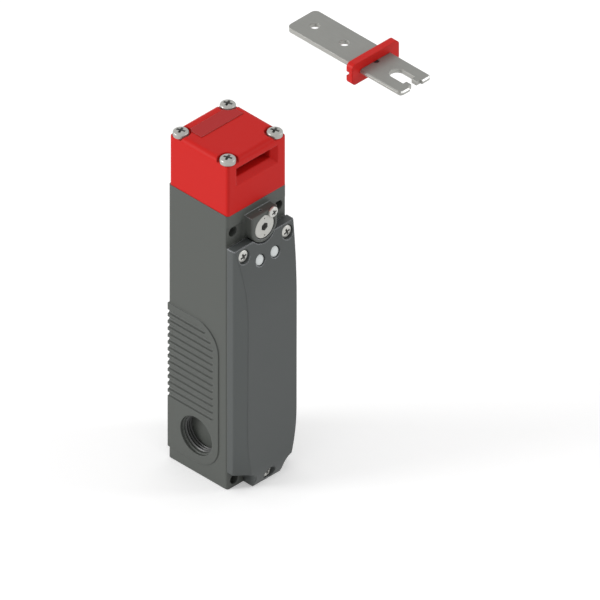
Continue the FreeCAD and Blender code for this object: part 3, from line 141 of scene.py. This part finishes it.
view_wide = 0.2904
stand_off = 1.2
sight_end = 10.0
camera_data = bpy.data.cameras.new("isometric_camera")
camera_data.type = "ORTHO"
camera_data.ortho_scale = view_wide
camera_data.clip_end = sight_end
camera = bpy.data.objects.new("isometric_camera", camera_data)
scene.collection.objects.link(camera)
aim = Vector((0.0174, -0.0320, 0.1000))
away = Vector((-1.0, -1.0, 1.0)).normalized()
camera.location = aim + stand_off * away
camera.rotation_euler = away.to_track_quat("Z", "Y").to_euler()
scene.camera = camera


# Grey housing and its bowed front cover
# Both are aluminium die castings with a satin powder coat: a fine orange peel and faint mottling, with a
# painted highlight, a lighter line along the upward-facing edges. Three screws hold the cover, whose coat
# is painted a shade cooler than the body's: a painted tint that stands for the cooler light on its front.

def group_of(name, inputs, outputs):
    """An empty node group, from (name, kind, default) for each input and (name, kind) for each output."""
    kinds = {"colour": "NodeSocketColor", "number": "NodeSocketFloat", "vector": "NodeSocketVector"}
    tree = bpy.data.node_groups.new(name, "ShaderNodeTree")
    for label, kind, value in inputs:
        socket = tree.interface.new_socket(label, in_out="INPUT", socket_type=kinds[kind])
        socket.default_value = value
    for label, kind in outputs:
        tree.interface.new_socket(label, in_out="OUTPUT", socket_type=kinds[kind])
    return tree, tree.nodes.new("NodeGroupInput"), tree.nodes.new("NodeGroupOutput")


def maths(tree, kind, first, second, clamp=False):
    """One Math node on two values or sockets; gives its output socket."""
    node = tree.nodes.new("ShaderNodeMath")
    node.operation = kind
    node.use_clamp = clamp
    for socket, value in zip(node.inputs, (first, second)):
        if isinstance(value, (int, float)):
            socket.default_value = value
        else:
            tree.links.new(value, socket)
    return node.outputs[0]


def object_noise(tree, scale, detail, stretch=None):
    """Noise on Object coordinates, so that it stays put on a piece that moves; gives its Fac socket."""
    where = tree.nodes.new("ShaderNodeTexCoord").outputs["Object"]
    if stretch is not None:
        pulled = tree.nodes.new("ShaderNodeVectorMath")
        pulled.operation = "MULTIPLY"
        tree.links.new(where, pulled.inputs[0])
        tree.links.new(stretch, pulled.inputs[1])
        where = pulled.outputs[0]
    noise = tree.nodes.new("ShaderNodeTexNoise")
    noise.inputs["Detail"].default_value = detail
    tree.links.new(where, noise.inputs["Vector"])
    if isinstance(scale, (int, float)):
        noise.inputs["Scale"].default_value = scale
    else:
        tree.links.new(scale, noise.inputs["Scale"])
    return noise.outputs["Fac"]


# A Mix node's sockets for the two colours and for the mixed one, which share their names with others
colour_pair = (6, 7)
colour_mixed = 2


def mixed(tree, share, first, second):
    """Colour mix of two colours or sockets by a share; gives its output socket."""
    node = tree.nodes.new("ShaderNodeMix")
    node.data_type = "RGBA"
    tree.links.new(share, node.inputs["Factor"])
    for number, value in zip(colour_pair, (first, second)):
        if isinstance(value, tuple):
            node.inputs[number].default_value = value
        else:
            tree.links.new(value, node.inputs[number])
    return node.outputs[colour_mixed]


def weighed(tree, first, second, first_share):
    """The sum of two values, the first by its share and the second by the rest."""
    return maths(tree, "ADD", maths(tree, "MULTIPLY", first, first_share),
                 maths(tree, "MULTIPLY", second, 1.0 - first_share))


def shade_between(tree, given, made, share, height):
    """Runs colour and roughness between the group's two limits by a share, and passes the height on."""
    tree.links.new(mixed(tree, share, given.outputs["Deep"], given.outputs["Colour"]),
                   made.inputs["Colour"])
    span = maths(tree, "SUBTRACT", given.outputs["Rough High"], given.outputs["Rough Low"])
    tree.links.new(maths(tree, "ADD", given.outputs["Rough Low"], maths(tree, "MULTIPLY", share, span)),
                   made.inputs["Roughness"])
    tree.links.new(height, made.inputs["Height"])


def make_coat_skin():
    """Powder coat or moulded skin: slow mottling of the colour, fine grain for bump and gloss."""
    tree, given, made = group_of(
        "coat_skin",
        (("Colour", "colour", white), ("Deep", "colour", white), ("Grain Scale", "number", 2500.0),
         ("Mottle Scale", "number", 60.0), ("Rough Low", "number", 0.4), ("Rough High", "number", 0.6)),
        (("Colour", "colour"), ("Roughness", "number"), ("Height", "number")))
    mottle = object_noise(tree, given.outputs["Mottle Scale"], detail=4.0)
    grain = object_noise(tree, given.outputs["Grain Scale"], detail=2.0)
    shade_between(tree, given, made, weighed(tree, mottle, grain, first_share=0.65), grain)
    return tree


soft_edge_samples = 6


def make_soft_relief():
    """The normal of a softened edge with the grain's fine relief on it."""
    tree, given, made = group_of(
        "soft_relief",
        (("Width", "number", 0.0005), ("Strength", "number", 0.1), ("Distance", "number", 0.0002),
         ("Height", "number", 0.0)),
        (("Normal", "vector"),))
    soft_edge = tree.nodes.new("ShaderNodeBevel")
    soft_edge.samples = soft_edge_samples
    tree.links.new(given.outputs["Width"], soft_edge.inputs["Radius"])
    relief = tree.nodes.new("ShaderNodeBump")
    for name in ("Strength", "Distance", "Height"):
        tree.links.new(given.outputs[name], relief.inputs[name])
    tree.links.new(soft_edge.outputs[0], relief.inputs["Normal"])
    tree.links.new(relief.outputs[0], made.inputs["Normal"])
    return tree


# How far a rounded normal leans off the true one before the edge takes the painted highlight, how fast
# the highlight comes on after that, how far up the edge must look, and how far it closes up its breaks
blunt_edge = 0.08
highlight_onset = 6.0
least_upwards = 0.2
upward_onset = 3.0
break_gain = 1.4
highlight_samples = 4


def make_edge_highlight():
    """A mask of painted edge highlight: where a rounded normal leaves the true one and looks upwards."""
    tree, given, made = group_of(
        "edge_highlight",
        (("Width", "number", 0.0005), ("Breaks", "number", 400.0), ("Amount", "number", 1.0),
         ("Half Wide", "number", 1.0), ("Above", "number", -1.0), ("Below", "number", 1.0)),
        (("Mask", "number"),))
    rounded = tree.nodes.new("ShaderNodeBevel")
    rounded.samples = highlight_samples
    tree.links.new(given.outputs["Width"], rounded.inputs["Radius"])
    flat = tree.nodes.new("ShaderNodeNewGeometry").outputs["True Normal"]
    match = tree.nodes.new("ShaderNodeVectorMath")
    match.operation = "DOT_PRODUCT"
    tree.links.new(rounded.outputs[0], match.inputs[0])
    tree.links.new(flat, match.inputs[1])
    leaning = maths(tree, "SUBTRACT", 1.0 - blunt_edge, match.outputs["Value"], True)
    turned_off = maths(tree, "MULTIPLY", leaning, highlight_onset, True)
    lean = tree.nodes.new("ShaderNodeSeparateXYZ")
    tree.links.new(rounded.outputs[0], lean.inputs[0])
    upwards = maths(tree, "MULTIPLY", maths(tree, "SUBTRACT", lean.outputs["Z"], least_upwards),
                    upward_onset, True)
    place = tree.nodes.new("ShaderNodeSeparateXYZ")
    tree.links.new(tree.nodes.new("ShaderNodeTexCoord").outputs["Object"], place.inputs[0])
    inner = maths(tree, "LESS_THAN", maths(tree, "ABSOLUTE", place.outputs["X"], 0.0),
                  given.outputs["Half Wide"])
    above = maths(tree, "GREATER_THAN", place.outputs["Z"], given.outputs["Above"])
    below = maths(tree, "LESS_THAN", place.outputs["Z"], given.outputs["Below"])
    breaks = object_noise(tree, given.outputs["Breaks"], detail=3.0)
    painted_edge_light = maths(tree, "MULTIPLY", turned_off, maths(tree, "MULTIPLY", breaks, break_gain, True))
    for share in (upwards, inner, above, below):
        painted_edge_light = maths(tree, "MULTIPLY", painted_edge_light, share)
    tree.links.new(maths(tree, "MULTIPLY", painted_edge_light, given.outputs["Amount"], True), made.inputs["Mask"])
    return tree


coat_skin = make_coat_skin()
soft_relief = make_soft_relief()
edge_highlight = make_edge_highlight()


def use(tree, group, **values):
    """Places a node group in a material and sets its inputs; an underscore stands for a space."""
    node = tree.nodes.new("ShaderNodeGroup")
    node.node_tree = group
    for label, value in values.items():
        node.inputs[label.replace("_", " ")].default_value = value
    return node


def new_paint(name):
    """An empty material with its node tree and its shader."""
    paint = bpy.data.materials.new(name)
    paint.use_nodes = True
    return paint, paint.node_tree, paint.node_tree.nodes["Principled BSDF"]


def give_relief(tree, shader, height, width, strength, distance):
    """Feeds the shader's normal with softened edges and a fine relief."""
    relief = use(tree, soft_relief, Width=width, Strength=strength, Distance=distance)
    tree.links.new(height, relief.inputs["Height"])
    tree.links.new(relief.outputs["Normal"], shader.inputs["Normal"])


# How deep the grain of a coat stands, in metres
coat_relief = 0.0002


def coated(name, colour, deep, painted_edge_light, rough=(0.42, 0.58), grain=2500.0, mottle=60.0, bump=0.08,
           edge=0.0006, highlight_amount=0.5, specular=0.2, half_wide=1.0, above=-1.0, below=1.0):
    """A powder coat or moulded skin with softly rounded edges, painted towards the third colour along the
    upward-facing ones as a painted highlight.

    `half_wide`, `above` and `below` keep the painted highlight near the middle and between two heights.
    """
    paint, tree, shader = new_paint(name)
    shader.inputs["Specular IOR Level"].default_value = specular
    skin = use(tree, coat_skin, Colour=(*colour, 1.0), Deep=(*deep, 1.0), Grain_Scale=grain,
               Mottle_Scale=mottle, Rough_Low=rough[0], Rough_High=rough[1])
    # Painted highlight: upward-facing edges are mixed towards a lighter colour, for the light they catch
    highlight_mask = use(tree, edge_highlight, Width=edge, Amount=highlight_amount, Half_Wide=half_wide, Above=above, Below=below)
    tree.links.new(mixed(tree, highlight_mask.outputs["Mask"], skin.outputs["Colour"], (*painted_edge_light, 1.0)),
                   shader.inputs["Base Color"])
    tree.links.new(skin.outputs["Roughness"], shader.inputs["Roughness"])
    give_relief(tree, shader, skin.outputs["Height"], edge, bump, coat_relief)
    return paint


def finish(paint, *names):
    """Puts a finish on CAD nodes."""
    for name in names:
        data = frame["nodes"][name].data
        data.materials.clear()
        data.materials.append(paint)


# Each coat's third colour is the lighter one of its painted edge highlight
grey_coat = coated("grey_coat", (0.080, 0.0865, 0.078), (0.070, 0.076, 0.069), (0.50, 0.51, 0.54),
                   edge=0.0009, highlight_amount=1.0, specular=0.4, half_wide=0.0095, above=0.14, below=0.158)
finish(grey_coat, "housing")
# The cover's coat is the body's grey painted a shade cooler: a painted tint for the cooler light on its
# front
cover_coat_painted_cool = coated("cover_coat_painted_cool", (0.076, 0.0835, 0.082), (0.067, 0.074, 0.073), (0.56, 0.57, 0.61),
                    edge=0.0012, highlight_amount=1.0, specular=0.4)
finish(cover_coat_painted_cool, "front_cover")


# Conduit threads
# Each of the three M20 entries is tapped in the casting. The thread's ridges are given a dark grey, a
# shade darker than the coat; it runs as a true helix from the face down to the break-out wall.

# Sizes are in mm from here on, and MM takes them to metres
MM = 0.001
thread_pitch = 1.5
thread_high = 0.75
ridge_foot = 1.15
ridge_crest = 0.18
thread_run_in = 0.1
thread_sides = 48
crease_angle = math.radians(32.0)
# How far each entry's mouth lies outside the point that its mount names
mouth_out = {"base_entry": 0.0, "left_entry": 3.15, "right_entry": 3.15}


def smoothed(mesh):
    """Shades a mesh smoothly, with its real edges left sharp."""
    for face in mesh.polygons:
        face.use_smooth = True
    mesh.set_sharp_from_angle(angle=crease_angle)


def piece_from(bm, name, paint):
    """Turns a finished bmesh into an object at the origin with its normals outwards."""
    bmesh.ops.recalc_face_normals(bm, faces=bm.faces)
    mesh = bpy.data.meshes.new(name)
    bm.to_mesh(mesh)
    bm.free()
    smoothed(mesh)
    mesh.materials.append(paint)
    piece = bpy.data.objects.new(name, mesh)
    scene.collection.objects.link(piece)
    return piece


def facing(direction, place):
    """Takes +Z to `direction` and the origin to `place`."""
    return Matrix.Translation(place) @ Vector(direction).to_track_quat("Z", "Y").to_matrix().to_4x4()


def wound(section, pitch, turns, sides):
    """Winds a closed section of (radius, height) in mm up round Z, or down if the pitch is negative."""
    bm = bmesh.new()
    face = bm.faces.new([bm.verts.new((r * MM, 0.0, z * MM)) for r, z in section])
    steps = round(sides * turns)
    bmesh.ops.spin(bm, geom=[face], cent=(0, 0, 0), axis=(0, 0, 1), angle=2 * math.pi * turns,
                   steps=steps, dvec=(0, 0, pitch * turns * MM / steps), use_merge=False)
    bmesh.ops.remove_doubles(bm, verts=bm.verts, dist=1e-7)
    return bm


def make_thread(bore_r, deep):
    """A helical ridge that stands inwards from the bore's wall, mouth at the origin, going down -Z."""
    half_foot, half_crest = ridge_foot / 2, ridge_crest / 2
    crest_r = bore_r - thread_high
    start = -half_foot - thread_run_in
    section = [(bore_r, start - half_foot), (crest_r, start - half_crest),
               (crest_r, start + half_crest), (bore_r, start + half_foot)]
    turns = (deep - ridge_foot - 2 * thread_run_in) / thread_pitch
    return wound(section, -thread_pitch, turns, thread_sides)


thread_metal = coated("thread_metal", (0.075, 0.078, 0.076), (0.05, 0.052, 0.05), (0.2, 0.2, 0.2),
                      rough=(0.3, 0.45), specular=0.4, edge=0.0002)
for mount in frame["record"]["mounts"]:
    if mount["name"] in mouth_out:
        dims = mount["dims"]
        bore = make_thread(dims["r_mm"], dims["length_mm"])
        outwards = Vector(mount["axis"])
        mouth = Vector(mount["pos_m"]) + outwards * mouth_out[mount["name"]] * MM
        bore.transform(facing(outwards, mouth))
        thread = piece_from(bore, mount["name"] + "_thread", thread_metal)
        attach(thread, "switch")


# Red head
# The operating head is a red powder-coated casting with rounded top edges and a flared slot. A bare
# plate of matt red plastic lies in a shallow pocket of its roof, glued down.

red_coat = coated("red_coat", (0.60, 0.0135, 0.0105), (0.555, 0.0115, 0.009), (0.72, 0.06, 0.045),
                  rough=(0.4, 0.55), edge=0.0012, highlight_amount=0.35, specular=0.14, bump=0.05)
finish(red_coat, "head_shell")
plate_red = coated("plate_red", (0.46, 0.03, 0.03), (0.42, 0.027, 0.027), (0.85, 0.4, 0.36),
                   rough=(0.55, 0.65), edge=0.0003, highlight_amount=0.7, specular=0.15)
finish(plate_red, "head_plate")


# Screws
# Zinc-plated pan-head machine screws with a cross recess: four hold the head down, three hold the cover
# and a small one locks the release dial. Each is turned, with the recess punched in its crown.

cloud_scale = 220.0


def make_turned_lines():
    """Fine concentric or straight tool lines: noise pulled out along the surface."""
    tree, given, made = group_of(
        "tool_lines",
        (("Colour", "colour", white), ("Deep", "colour", white), ("Stretch", "vector", (1.0, 1.0, 1.0)),
         ("Scale", "number", 900.0), ("Rough Low", "number", 0.25), ("Rough High", "number", 0.4)),
        (("Colour", "colour"), ("Roughness", "number"), ("Height", "number")))
    lines = object_noise(tree, given.outputs["Scale"], detail=3.0, stretch=given.outputs["Stretch"])
    cloud = object_noise(tree, cloud_scale, detail=3.0)
    shade_between(tree, given, made, weighed(tree, lines, cloud, first_share=0.6), lines)
    return tree


tool_lines = make_turned_lines()
line_relief = 0.0001


def bare_metal(name, colour, deep, stretch=(1.0, 1.0, 1.0), scale=900.0, rough=(0.28, 0.42),
               metallic=1.0, bump=0.1, edge=0.0002):
    """Plated or brushed metal with tool lines along the unstretched axis and softened edges."""
    metal, tree, shader = new_paint(name)
    shader.inputs["Metallic"].default_value = metallic
    lines = use(tree, tool_lines, Colour=(*colour, 1.0), Deep=(*deep, 1.0), Stretch=stretch,
                Scale=scale, Rough_Low=rough[0], Rough_High=rough[1])
    tree.links.new(lines.outputs["Colour"], shader.inputs["Base Color"])
    tree.links.new(lines.outputs["Roughness"], shader.inputs["Roughness"])
    give_relief(tree, shader, lines.outputs["Height"], edge, bump, line_relief)
    return metal


# The two zinc plates below are one finish: the head screws' copy is painted darker, as painted shade for
# the dim reflection their upward crowns take, and the cover screws' copy is the lighter one
zinc_plate = bare_metal("zinc_plate", (0.66, 0.66, 0.625), (0.54, 0.54, 0.51), metallic=0.55)
head_zinc_painted_dark = bare_metal("head_zinc_painted_dark", (0.46, 0.46, 0.43), (0.36, 0.36, 0.34), metallic=0.6)
# Painted shade: a darker copy of the metal that lines the screws' cross recesses and the dial's socket
# and dots, standing for the shade inside them
recess_painted_shade = bare_metal("recess_painted_shade", (0.26, 0.26, 0.25), (0.17, 0.17, 0.16), rough=(0.4, 0.55),
                          metallic=0.35)


def turned(outline, steps=48):
    """Spins an outline of (radius, height) in mm about Z, from the centre of one end to the other's."""
    bm = bmesh.new()
    points = [bm.verts.new((r * MM, 0.0, z * MM)) for r, z in outline]
    edges = [bm.edges.new(pair) for pair in zip(points, points[1:])]
    bmesh.ops.spin(bm, geom=points + edges, cent=(0, 0, 0), axis=(0, 0, 1), angle=2 * math.pi,
                   steps=steps, use_merge=True)
    bmesh.ops.remove_doubles(bm, verts=bm.verts, dist=1e-7)
    return bm


def cut_out(piece, tools, shade_lining):
    """Cuts each tool's bmesh out of a piece and lines the cut with a darker finish, painted shade in the
    hollow, then drops the tools.
    """
    for number, bm in enumerate(tools):
        bmesh.ops.recalc_face_normals(bm, faces=bm.faces)
        mesh = bpy.data.meshes.new(f"{piece.name}_tool_{number}")
        bm.to_mesh(mesh)
        bm.free()
        mesh.materials.append(shade_lining)
        tool = bpy.data.objects.new(mesh.name, mesh)
        scene.collection.objects.link(tool)
        cut = piece.modifiers.new("cut", "BOOLEAN")
        cut.operation = "DIFFERENCE"
        cut.solver = "EXACT"
        cut.material_mode = "TRANSFER"
        cut.object = tool
        shown = piece.evaluated_get(bpy.context.evaluated_depsgraph_get())
        done = bpy.data.meshes.new_from_object(shown)
        piece.modifiers.clear()
        piece.data = done
        bpy.data.objects.remove(tool)
        bpy.data.meshes.remove(mesh)
    smoothed(piece.data)


# The cross of the recess: its reach and width as shares of the head's radius, its depth as a share of
# the head's height, and the punch's foot and mouth as shares of that cross, the mouth above the crown
recess_reach, recess_wide, recess_deep = 0.62, 0.32, 0.8
foot_reach, foot_wide = 0.45, 0.8
mouth_reach, mouth_wide = 1.05, 1.1
mouth_above = 0.3
recess_turn = math.radians(20.0)


def cross_recess(place, head_r, head_high):
    """The tapering cross-shaped punch for a head whose underside is at `place`."""
    arm, half = recess_reach * head_r * MM, recess_wide * head_r / 2 * MM
    foot_z, mouth_z = (1.0 - recess_deep) * head_high * MM, (head_high + mouth_above) * MM
    corners = (Vector((arm, -half, 0.0)), Vector((arm, half, 0.0)), Vector((half, half, 0.0)))
    quarters = [Matrix.Rotation(math.radians(turn), 3, "Z") for turn in (0.0, 90.0, 180.0, 270.0)]
    bm = bmesh.new()
    foot = bm.faces.new([bm.verts.new(quarter @ corner) for quarter in quarters for corner in corners])
    grown = bmesh.ops.extrude_face_region(bm, geom=[foot])["geom"]
    mouth = [part for part in grown if isinstance(part, bmesh.types.BMVert)]
    # An arm's tip moves out or in by the reach, and its sides by the width
    for vert in bm.verts:
        at_mouth = vert in mouth
        reach, wide = (mouth_reach, mouth_wide) if at_mouth else (foot_reach, foot_wide)
        vert.co.x *= reach if abs(vert.co.x) > 2 * half else wide
        vert.co.y *= reach if abs(vert.co.y) > 2 * half else wide
        vert.co.z = mouth_z if at_mouth else foot_z
    bm.transform(place @ Matrix.Rotation(recess_turn, 4, "Z"))
    return bm


# The domed crown from its centre to its rim, as shares of the head's radius and height, the small
# radius under the rim, and the chamfer at the shank's tip
crown_dome = ((0.0, 1.0), (0.35, 0.99), (0.6, 0.955), (0.78, 0.9), (0.9, 0.82), (0.97, 0.72),
              (1.0, 0.6))
under_rim = ((1.0, 0.06), (0.97, 0.0))
tip_long, tip_in = 0.6, 0.5


def pan_screw(name, place, head_r, head_high, shank_r, shank_long, paint):
    """A pan-head screw, its head's underside at `place` and its crown towards +Z there."""
    head = [(share * head_r, rise * head_high) for share, rise in (*crown_dome, *under_rim)]
    shank = [(shank_r, 0.0), (shank_r, tip_long - shank_long), (shank_r - tip_in, -shank_long),
             (0.0, -shank_long)]
    bm = turned(head + shank)
    bm.transform(place)
    screw = piece_from(bm, name, paint)
    cut_out(screw, [cross_recess(place, head_r, head_high)], recess_painted_shade)
    return screw


up = (0.0, 0.0, 1.0)
forward = (0.0, -1.0, 0.0)
head_screw_size = {"head_r": 4.0, "head_high": 3.1, "shank_r": 2.0}
low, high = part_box("head_screws")
inset = head_screw_size["head_r"] * MM
under = high[2] - head_screw_size["head_high"] * MM
left, right, front, back = low[0] + inset, high[0] - inset, low[1] + inset, high[1] - inset
for number, (x, y) in enumerate(((left, front), (right, front), (right, back), (left, back))):
    screw = pan_screw(f"head_screw_{number + 1}", facing(up, (x, y, under)),
                      shank_long=(under - low[2]) / MM, paint=head_zinc_painted_dark, **head_screw_size)
    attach(screw, "switch")
    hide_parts("head_screws")

cover_screw_size = {"head_r": 3.4, "head_high": 2.0, "shank_r": 1.75}
low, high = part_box("cover_screws")
inset = cover_screw_size["head_r"] * MM
chin_front = low[1]
ear_back = 0.95
ear_front = chin_front + ear_back * MM
for name, x, z, front in (("left_cover_screw", low[0] + inset, high[2] - inset, ear_front),
                          ("right_cover_screw", high[0] - inset, high[2] - inset, ear_front),
                          ("chin_screw", 0.0, low[2] + inset, chin_front)):
    under = front + cover_screw_size["head_high"] * MM
    screw = pan_screw(name, facing(forward, (x, under, z)), shank_long=(high[1] - under) / MM,
                      paint=zinc_plate, **cover_screw_size)
    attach(screw, "switch")
    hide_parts("cover_screws")

low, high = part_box("release_lock_screw")
middle = (low + high) / 2
lock_screw_size = {"head_r": 2.8, "head_high": 1.4, "shank_r": 1.25}
under = low[1] + lock_screw_size["head_high"] * MM
screw = pan_screw("lock_screw", facing(forward, (middle[0], under, middle[2])),
                  shank_long=(high[1] - under) / MM, paint=zinc_plate, **lock_screw_size)
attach(screw, "switch")
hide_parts("release_lock_screw")


# Auxiliary release
# A nickel-plated turned dial with a hexagon socket, two punched dots that show which way it stands, and
# a shaft behind it that runs through a rubber seal.

dial_metal = bare_metal("dial_metal", (0.56, 0.56, 0.525), (0.46, 0.46, 0.43), rough=(0.3, 0.45),
                        metallic=0.5)
drawn_steel = bare_metal("drawn_steel", (0.60, 0.60, 0.58), (0.48, 0.48, 0.46), rough=(0.2, 0.32))
finish(drawn_steel, "release_shaft")
low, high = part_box("release_dial")
middle = (low + high) / 2
dial_r = (high[0] - low[0]) / 2 / MM
dial_long = (high[1] - low[1]) / MM
dial_edge = 0.35
socket_sides, socket_r, socket_deep = 6, 2.3, 3.0
dot_out, dot_sides, dot_r, dot_deep = 4.9, 16, 0.38, 0.35
place = facing(forward, (middle[0], high[1], middle[2]))
bm = turned([(0.0, dial_long), (dial_r - dial_edge, dial_long), (dial_r, dial_long - dial_edge),
             (dial_r, 0.0), (0.0, 0.0)], steps=96)
bm.transform(place)
dial = piece_from(bm, "release_dial_face", dial_metal)
sockets = []
for up_by, sides, radius, deep in ((0.0, socket_sides, socket_r, socket_deep),
                                   (dot_out, dot_sides, dot_r, dot_deep),
                                   (-dot_out, dot_sides, dot_r, dot_deep)):
    bm = bmesh.new()
    bmesh.ops.create_cone(bm, cap_ends=True, segments=sides, radius1=radius * MM, radius2=radius * MM,
                          depth=2 * deep * MM)
    bm.transform(place @ Matrix.Translation((0.0, up_by * MM, dial_long * MM)))
    sockets.append(bm)
cut_out(dial, sockets, recess_painted_shade)
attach(dial, "release")
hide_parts("release_dial")


# Light windows and the board behind them
# Two milky acrylic windows with polished rims are pressed into the cover over two clear lamps, which
# are soldered to a small lacquered board.

milky = coated("milky_acrylic", (0.74, 0.775, 0.77), (0.68, 0.71, 0.71), (0.86, 0.88, 0.88),
               rough=(0.18, 0.28), grain=900.0, bump=0.03, edge=0.0004, highlight_amount=0.4, specular=0.5)
low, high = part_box("light_windows")
lens_r = 2.95
lens_long = 4.0
window_r = 3.15
window_tilt = math.radians(11.81)
# The lens's domed face, as shares of its radius and heights over its nominal length
lens_dome = ((0.0, 0.3), (0.45, 0.24), (0.8, 0.05), (0.94, -0.15), (1.0, -0.45))
lens_outline = [(share * lens_r, lens_long + rise) for share, rise in lens_dome]
lens_outline += [(lens_r, 0.0), (0.0, 0.0)]
back_y = high[1] - window_r * math.sin(window_tilt) * MM
back_z = low[2] + window_r * math.cos(window_tilt) * MM
for name, x in (("left_window_lens", low[0] + window_r * MM),
                ("right_window_lens", high[0] - window_r * MM)):
    bm = turned(lens_outline)
    bm.transform(facing((0.0, -math.cos(window_tilt), math.sin(window_tilt)), (x, back_y, back_z)))
    lens = piece_from(bm, name, milky)
    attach(lens, "switch")
    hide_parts("light_windows")
lamp_clear = coated("lamp_clear", (0.72, 0.76, 0.72), (0.62, 0.66, 0.62), (0.85, 0.87, 0.85),
                    rough=(0.08, 0.14), bump=0.02, edge=0.0003, specular=0.6)
finish(lamp_clear, "signal_lamps")
board_green = coated("board_green", (0.03, 0.15, 0.065), (0.02, 0.11, 0.05), (0.20, 0.28, 0.12),
                     rough=(0.2, 0.35), mottle=350.0, edge=0.0002, specular=0.5)
finish(board_green, "lamp_board")


# Rubber seals
# Black nitrile seals, cut or moulded: the gasket in the groove under the cover, the one under the head
# and the ring that rides on the release shaft.

rubber = coated("nitrile_rubber", (0.022, 0.022, 0.023), (0.016, 0.016, 0.017), (0.05, 0.05, 0.05),
                rough=(0.7, 0.85), mottle=180.0, bump=0.15, edge=0.0002, specular=0.25)
finish(rubber, "cover_gasket", "head_gasket", "shaft_seal")


# Head mechanism and return springs
# A die-cast zinc cam turns on a steel axle in a white acetal carrier and pushes an acetal rod down on
# its wire spring. A second spring stands under the lock slide, which is plated steel.

cast_zinc = bare_metal("cast_zinc", (0.46, 0.46, 0.47), (0.34, 0.34, 0.35), scale=500.0,
                       rough=(0.42, 0.58), bump=0.3)
finish(cast_zinc, "actuating_cam")
acetal = coated("white_acetal", (0.70, 0.71, 0.69), (0.64, 0.65, 0.63), (0.78, 0.78, 0.77),
                rough=(0.35, 0.5), bump=0.05, edge=0.0003, highlight_amount=0.3, specular=0.4)
finish(acetal, "cam_carrier", "push_rod", "contact_plungers")
finish(drawn_steel, "cam_axle")
finish(zinc_plate, "lock_slide")
# Each spring's foot stands on the switch
spring_sides = 32
wire_step = 45
for name, node, wire_r, pitch, body in (("rod_return_spring", "rod_spring", 0.3, 2.0, "rod"),
                                        ("lock_return_spring", "lock_spring", 0.4, 2.1, "lock")):
    low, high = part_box(node)
    middle = (low + high) / 2
    coil_r = (high[0] - low[0]) / 2 / MM - wire_r
    wire = [(coil_r + wire_r * math.cos(math.radians(turn)), wire_r * math.sin(math.radians(turn)))
            for turn in range(0, 360, wire_step)]
    turns = ((high[2] - low[2]) / MM - 2 * wire_r) / pitch
    bm = wound(wire, pitch, turns, spring_sides)
    bm.transform(Matrix.Translation((middle[0], middle[1], low[2] + wire_r * MM)))
    spring = piece_from(bm, name, drawn_steel)
    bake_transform(spring)
    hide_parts(node)


# Contacts, terminals and solenoid
# Black thermoset blocks carry brass contacts and terminal parts; the solenoid is wound with enamelled
# copper wire, whose turns show as fine lines round the coil.

thermoset = coated("black_thermoset", (0.03, 0.03, 0.031), (0.022, 0.022, 0.023), (0.11, 0.11, 0.11),
                   rough=(0.35, 0.5), bump=0.08, edge=0.0003, specular=0.4)
finish(thermoset, "contact_block", "terminal_block")
finish(zinc_plate, "terminal_screws", "solenoid_frame", "solenoid_core")
brass = bare_metal("contact_brass", (0.68, 0.47, 0.18), (0.55, 0.36, 0.12), rough=(0.22, 0.36))
finish(brass, "fixed_contacts", "contact_bridges", "earth_screw")
copper = bare_metal("enamelled_copper", (0.55, 0.22, 0.09), (0.30, 0.10, 0.04),
                    stretch=(0.02, 0.02, 1.0), scale=2600.0, rough=(0.18, 0.3), bump=0.6)
finish(copper, "solenoid_coil")


# Tongue and its collar
# The tongue is stamped from 2.5 mm stainless strip, brushed along its faces; its sides are painted
# lighter, partly the sheared edge's own finish and partly painted light, and its tips' top bevels carry a
# painted glint. Its stop collar is red plastic, moulded round the strip, and a dark moulded peg fills the
# strip's third hole, half under the collar's front face; the peg's black also stands as painted shade for
# that hole.

brushed = bare_metal("brushed_stainless", (0.31, 0.312, 0.293), (0.24, 0.242, 0.227),
                     stretch=(1.0, 0.03, 1.0), scale=2600.0, rough=(0.36, 0.5), metallic=0.5,
                     bump=0.12, edge=0.0004)
# The sides are painted lighter, partly the sheared edge's own finish and partly painted light for the
# brighter light they catch; the forward top bevels of the tips are painted near white, a painted glint
sides_sheared_and_lit = (0.41, 0.41, 0.385, 1.0)
tip_painted_glint = (0.97, 0.97, 0.95, 1.0)
# How much of a face's normal points along an axis before the face counts as looking that way
facing_share = 0.5
tree = brushed.node_tree
shader = tree.nodes["Principled BSDF"]
strip_face = shader.inputs["Base Color"].links[0].from_socket
way = tree.nodes.new("ShaderNodeSeparateXYZ")
tree.links.new(tree.nodes.new("ShaderNodeTexCoord").outputs["Normal"], way.inputs[0])
side_faces = maths(tree, "LESS_THAN", maths(tree, "ABSOLUTE", way.outputs["Z"], 0.0), facing_share)
forwards = maths(tree, "LESS_THAN", way.outputs["Y"], -facing_share)
upwards = maths(tree, "GREATER_THAN", way.outputs["Z"], facing_share)
glint_faces = maths(tree, "MULTIPLY", forwards, upwards)
strip = mixed(tree, side_faces, strip_face, sides_sheared_and_lit)
tree.links.new(mixed(tree, glint_faces, strip, tip_painted_glint), shader.inputs["Base Color"])
finish(brushed, "tongue")
collar_red = coated("collar_red", (0.62, 0.0135, 0.0105), (0.575, 0.0115, 0.009), (0.74, 0.08, 0.06),
                    rough=(0.35, 0.5), edge=0.0007, highlight_amount=0.3, specular=0.16)
finish(collar_red, "tongue_collar")
low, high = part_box("tongue")
middle = (low + high) / 2
peg_r = 1.45
peg_from_tip = 27.60
peg_sunk = 0.35
peg_long = (high[2] - low[2]) / MM - 2 * peg_sunk
bm = bmesh.new()
bmesh.ops.create_cone(bm, cap_ends=True, segments=32, radius1=peg_r * MM, radius2=peg_r * MM,
                      depth=peg_long * MM)
bm.transform(Matrix.Translation((middle[0], low[1] + peg_from_tip * MM, middle[2])))
# The peg is black thermoset sunk under both faces, so the hole reads dark: its black is partly the peg's
# own and partly painted shade for that hole
peg = piece_from(bm, "collar_peg_and_hole_shade", thermoset)
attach(peg, "tongue_unit")
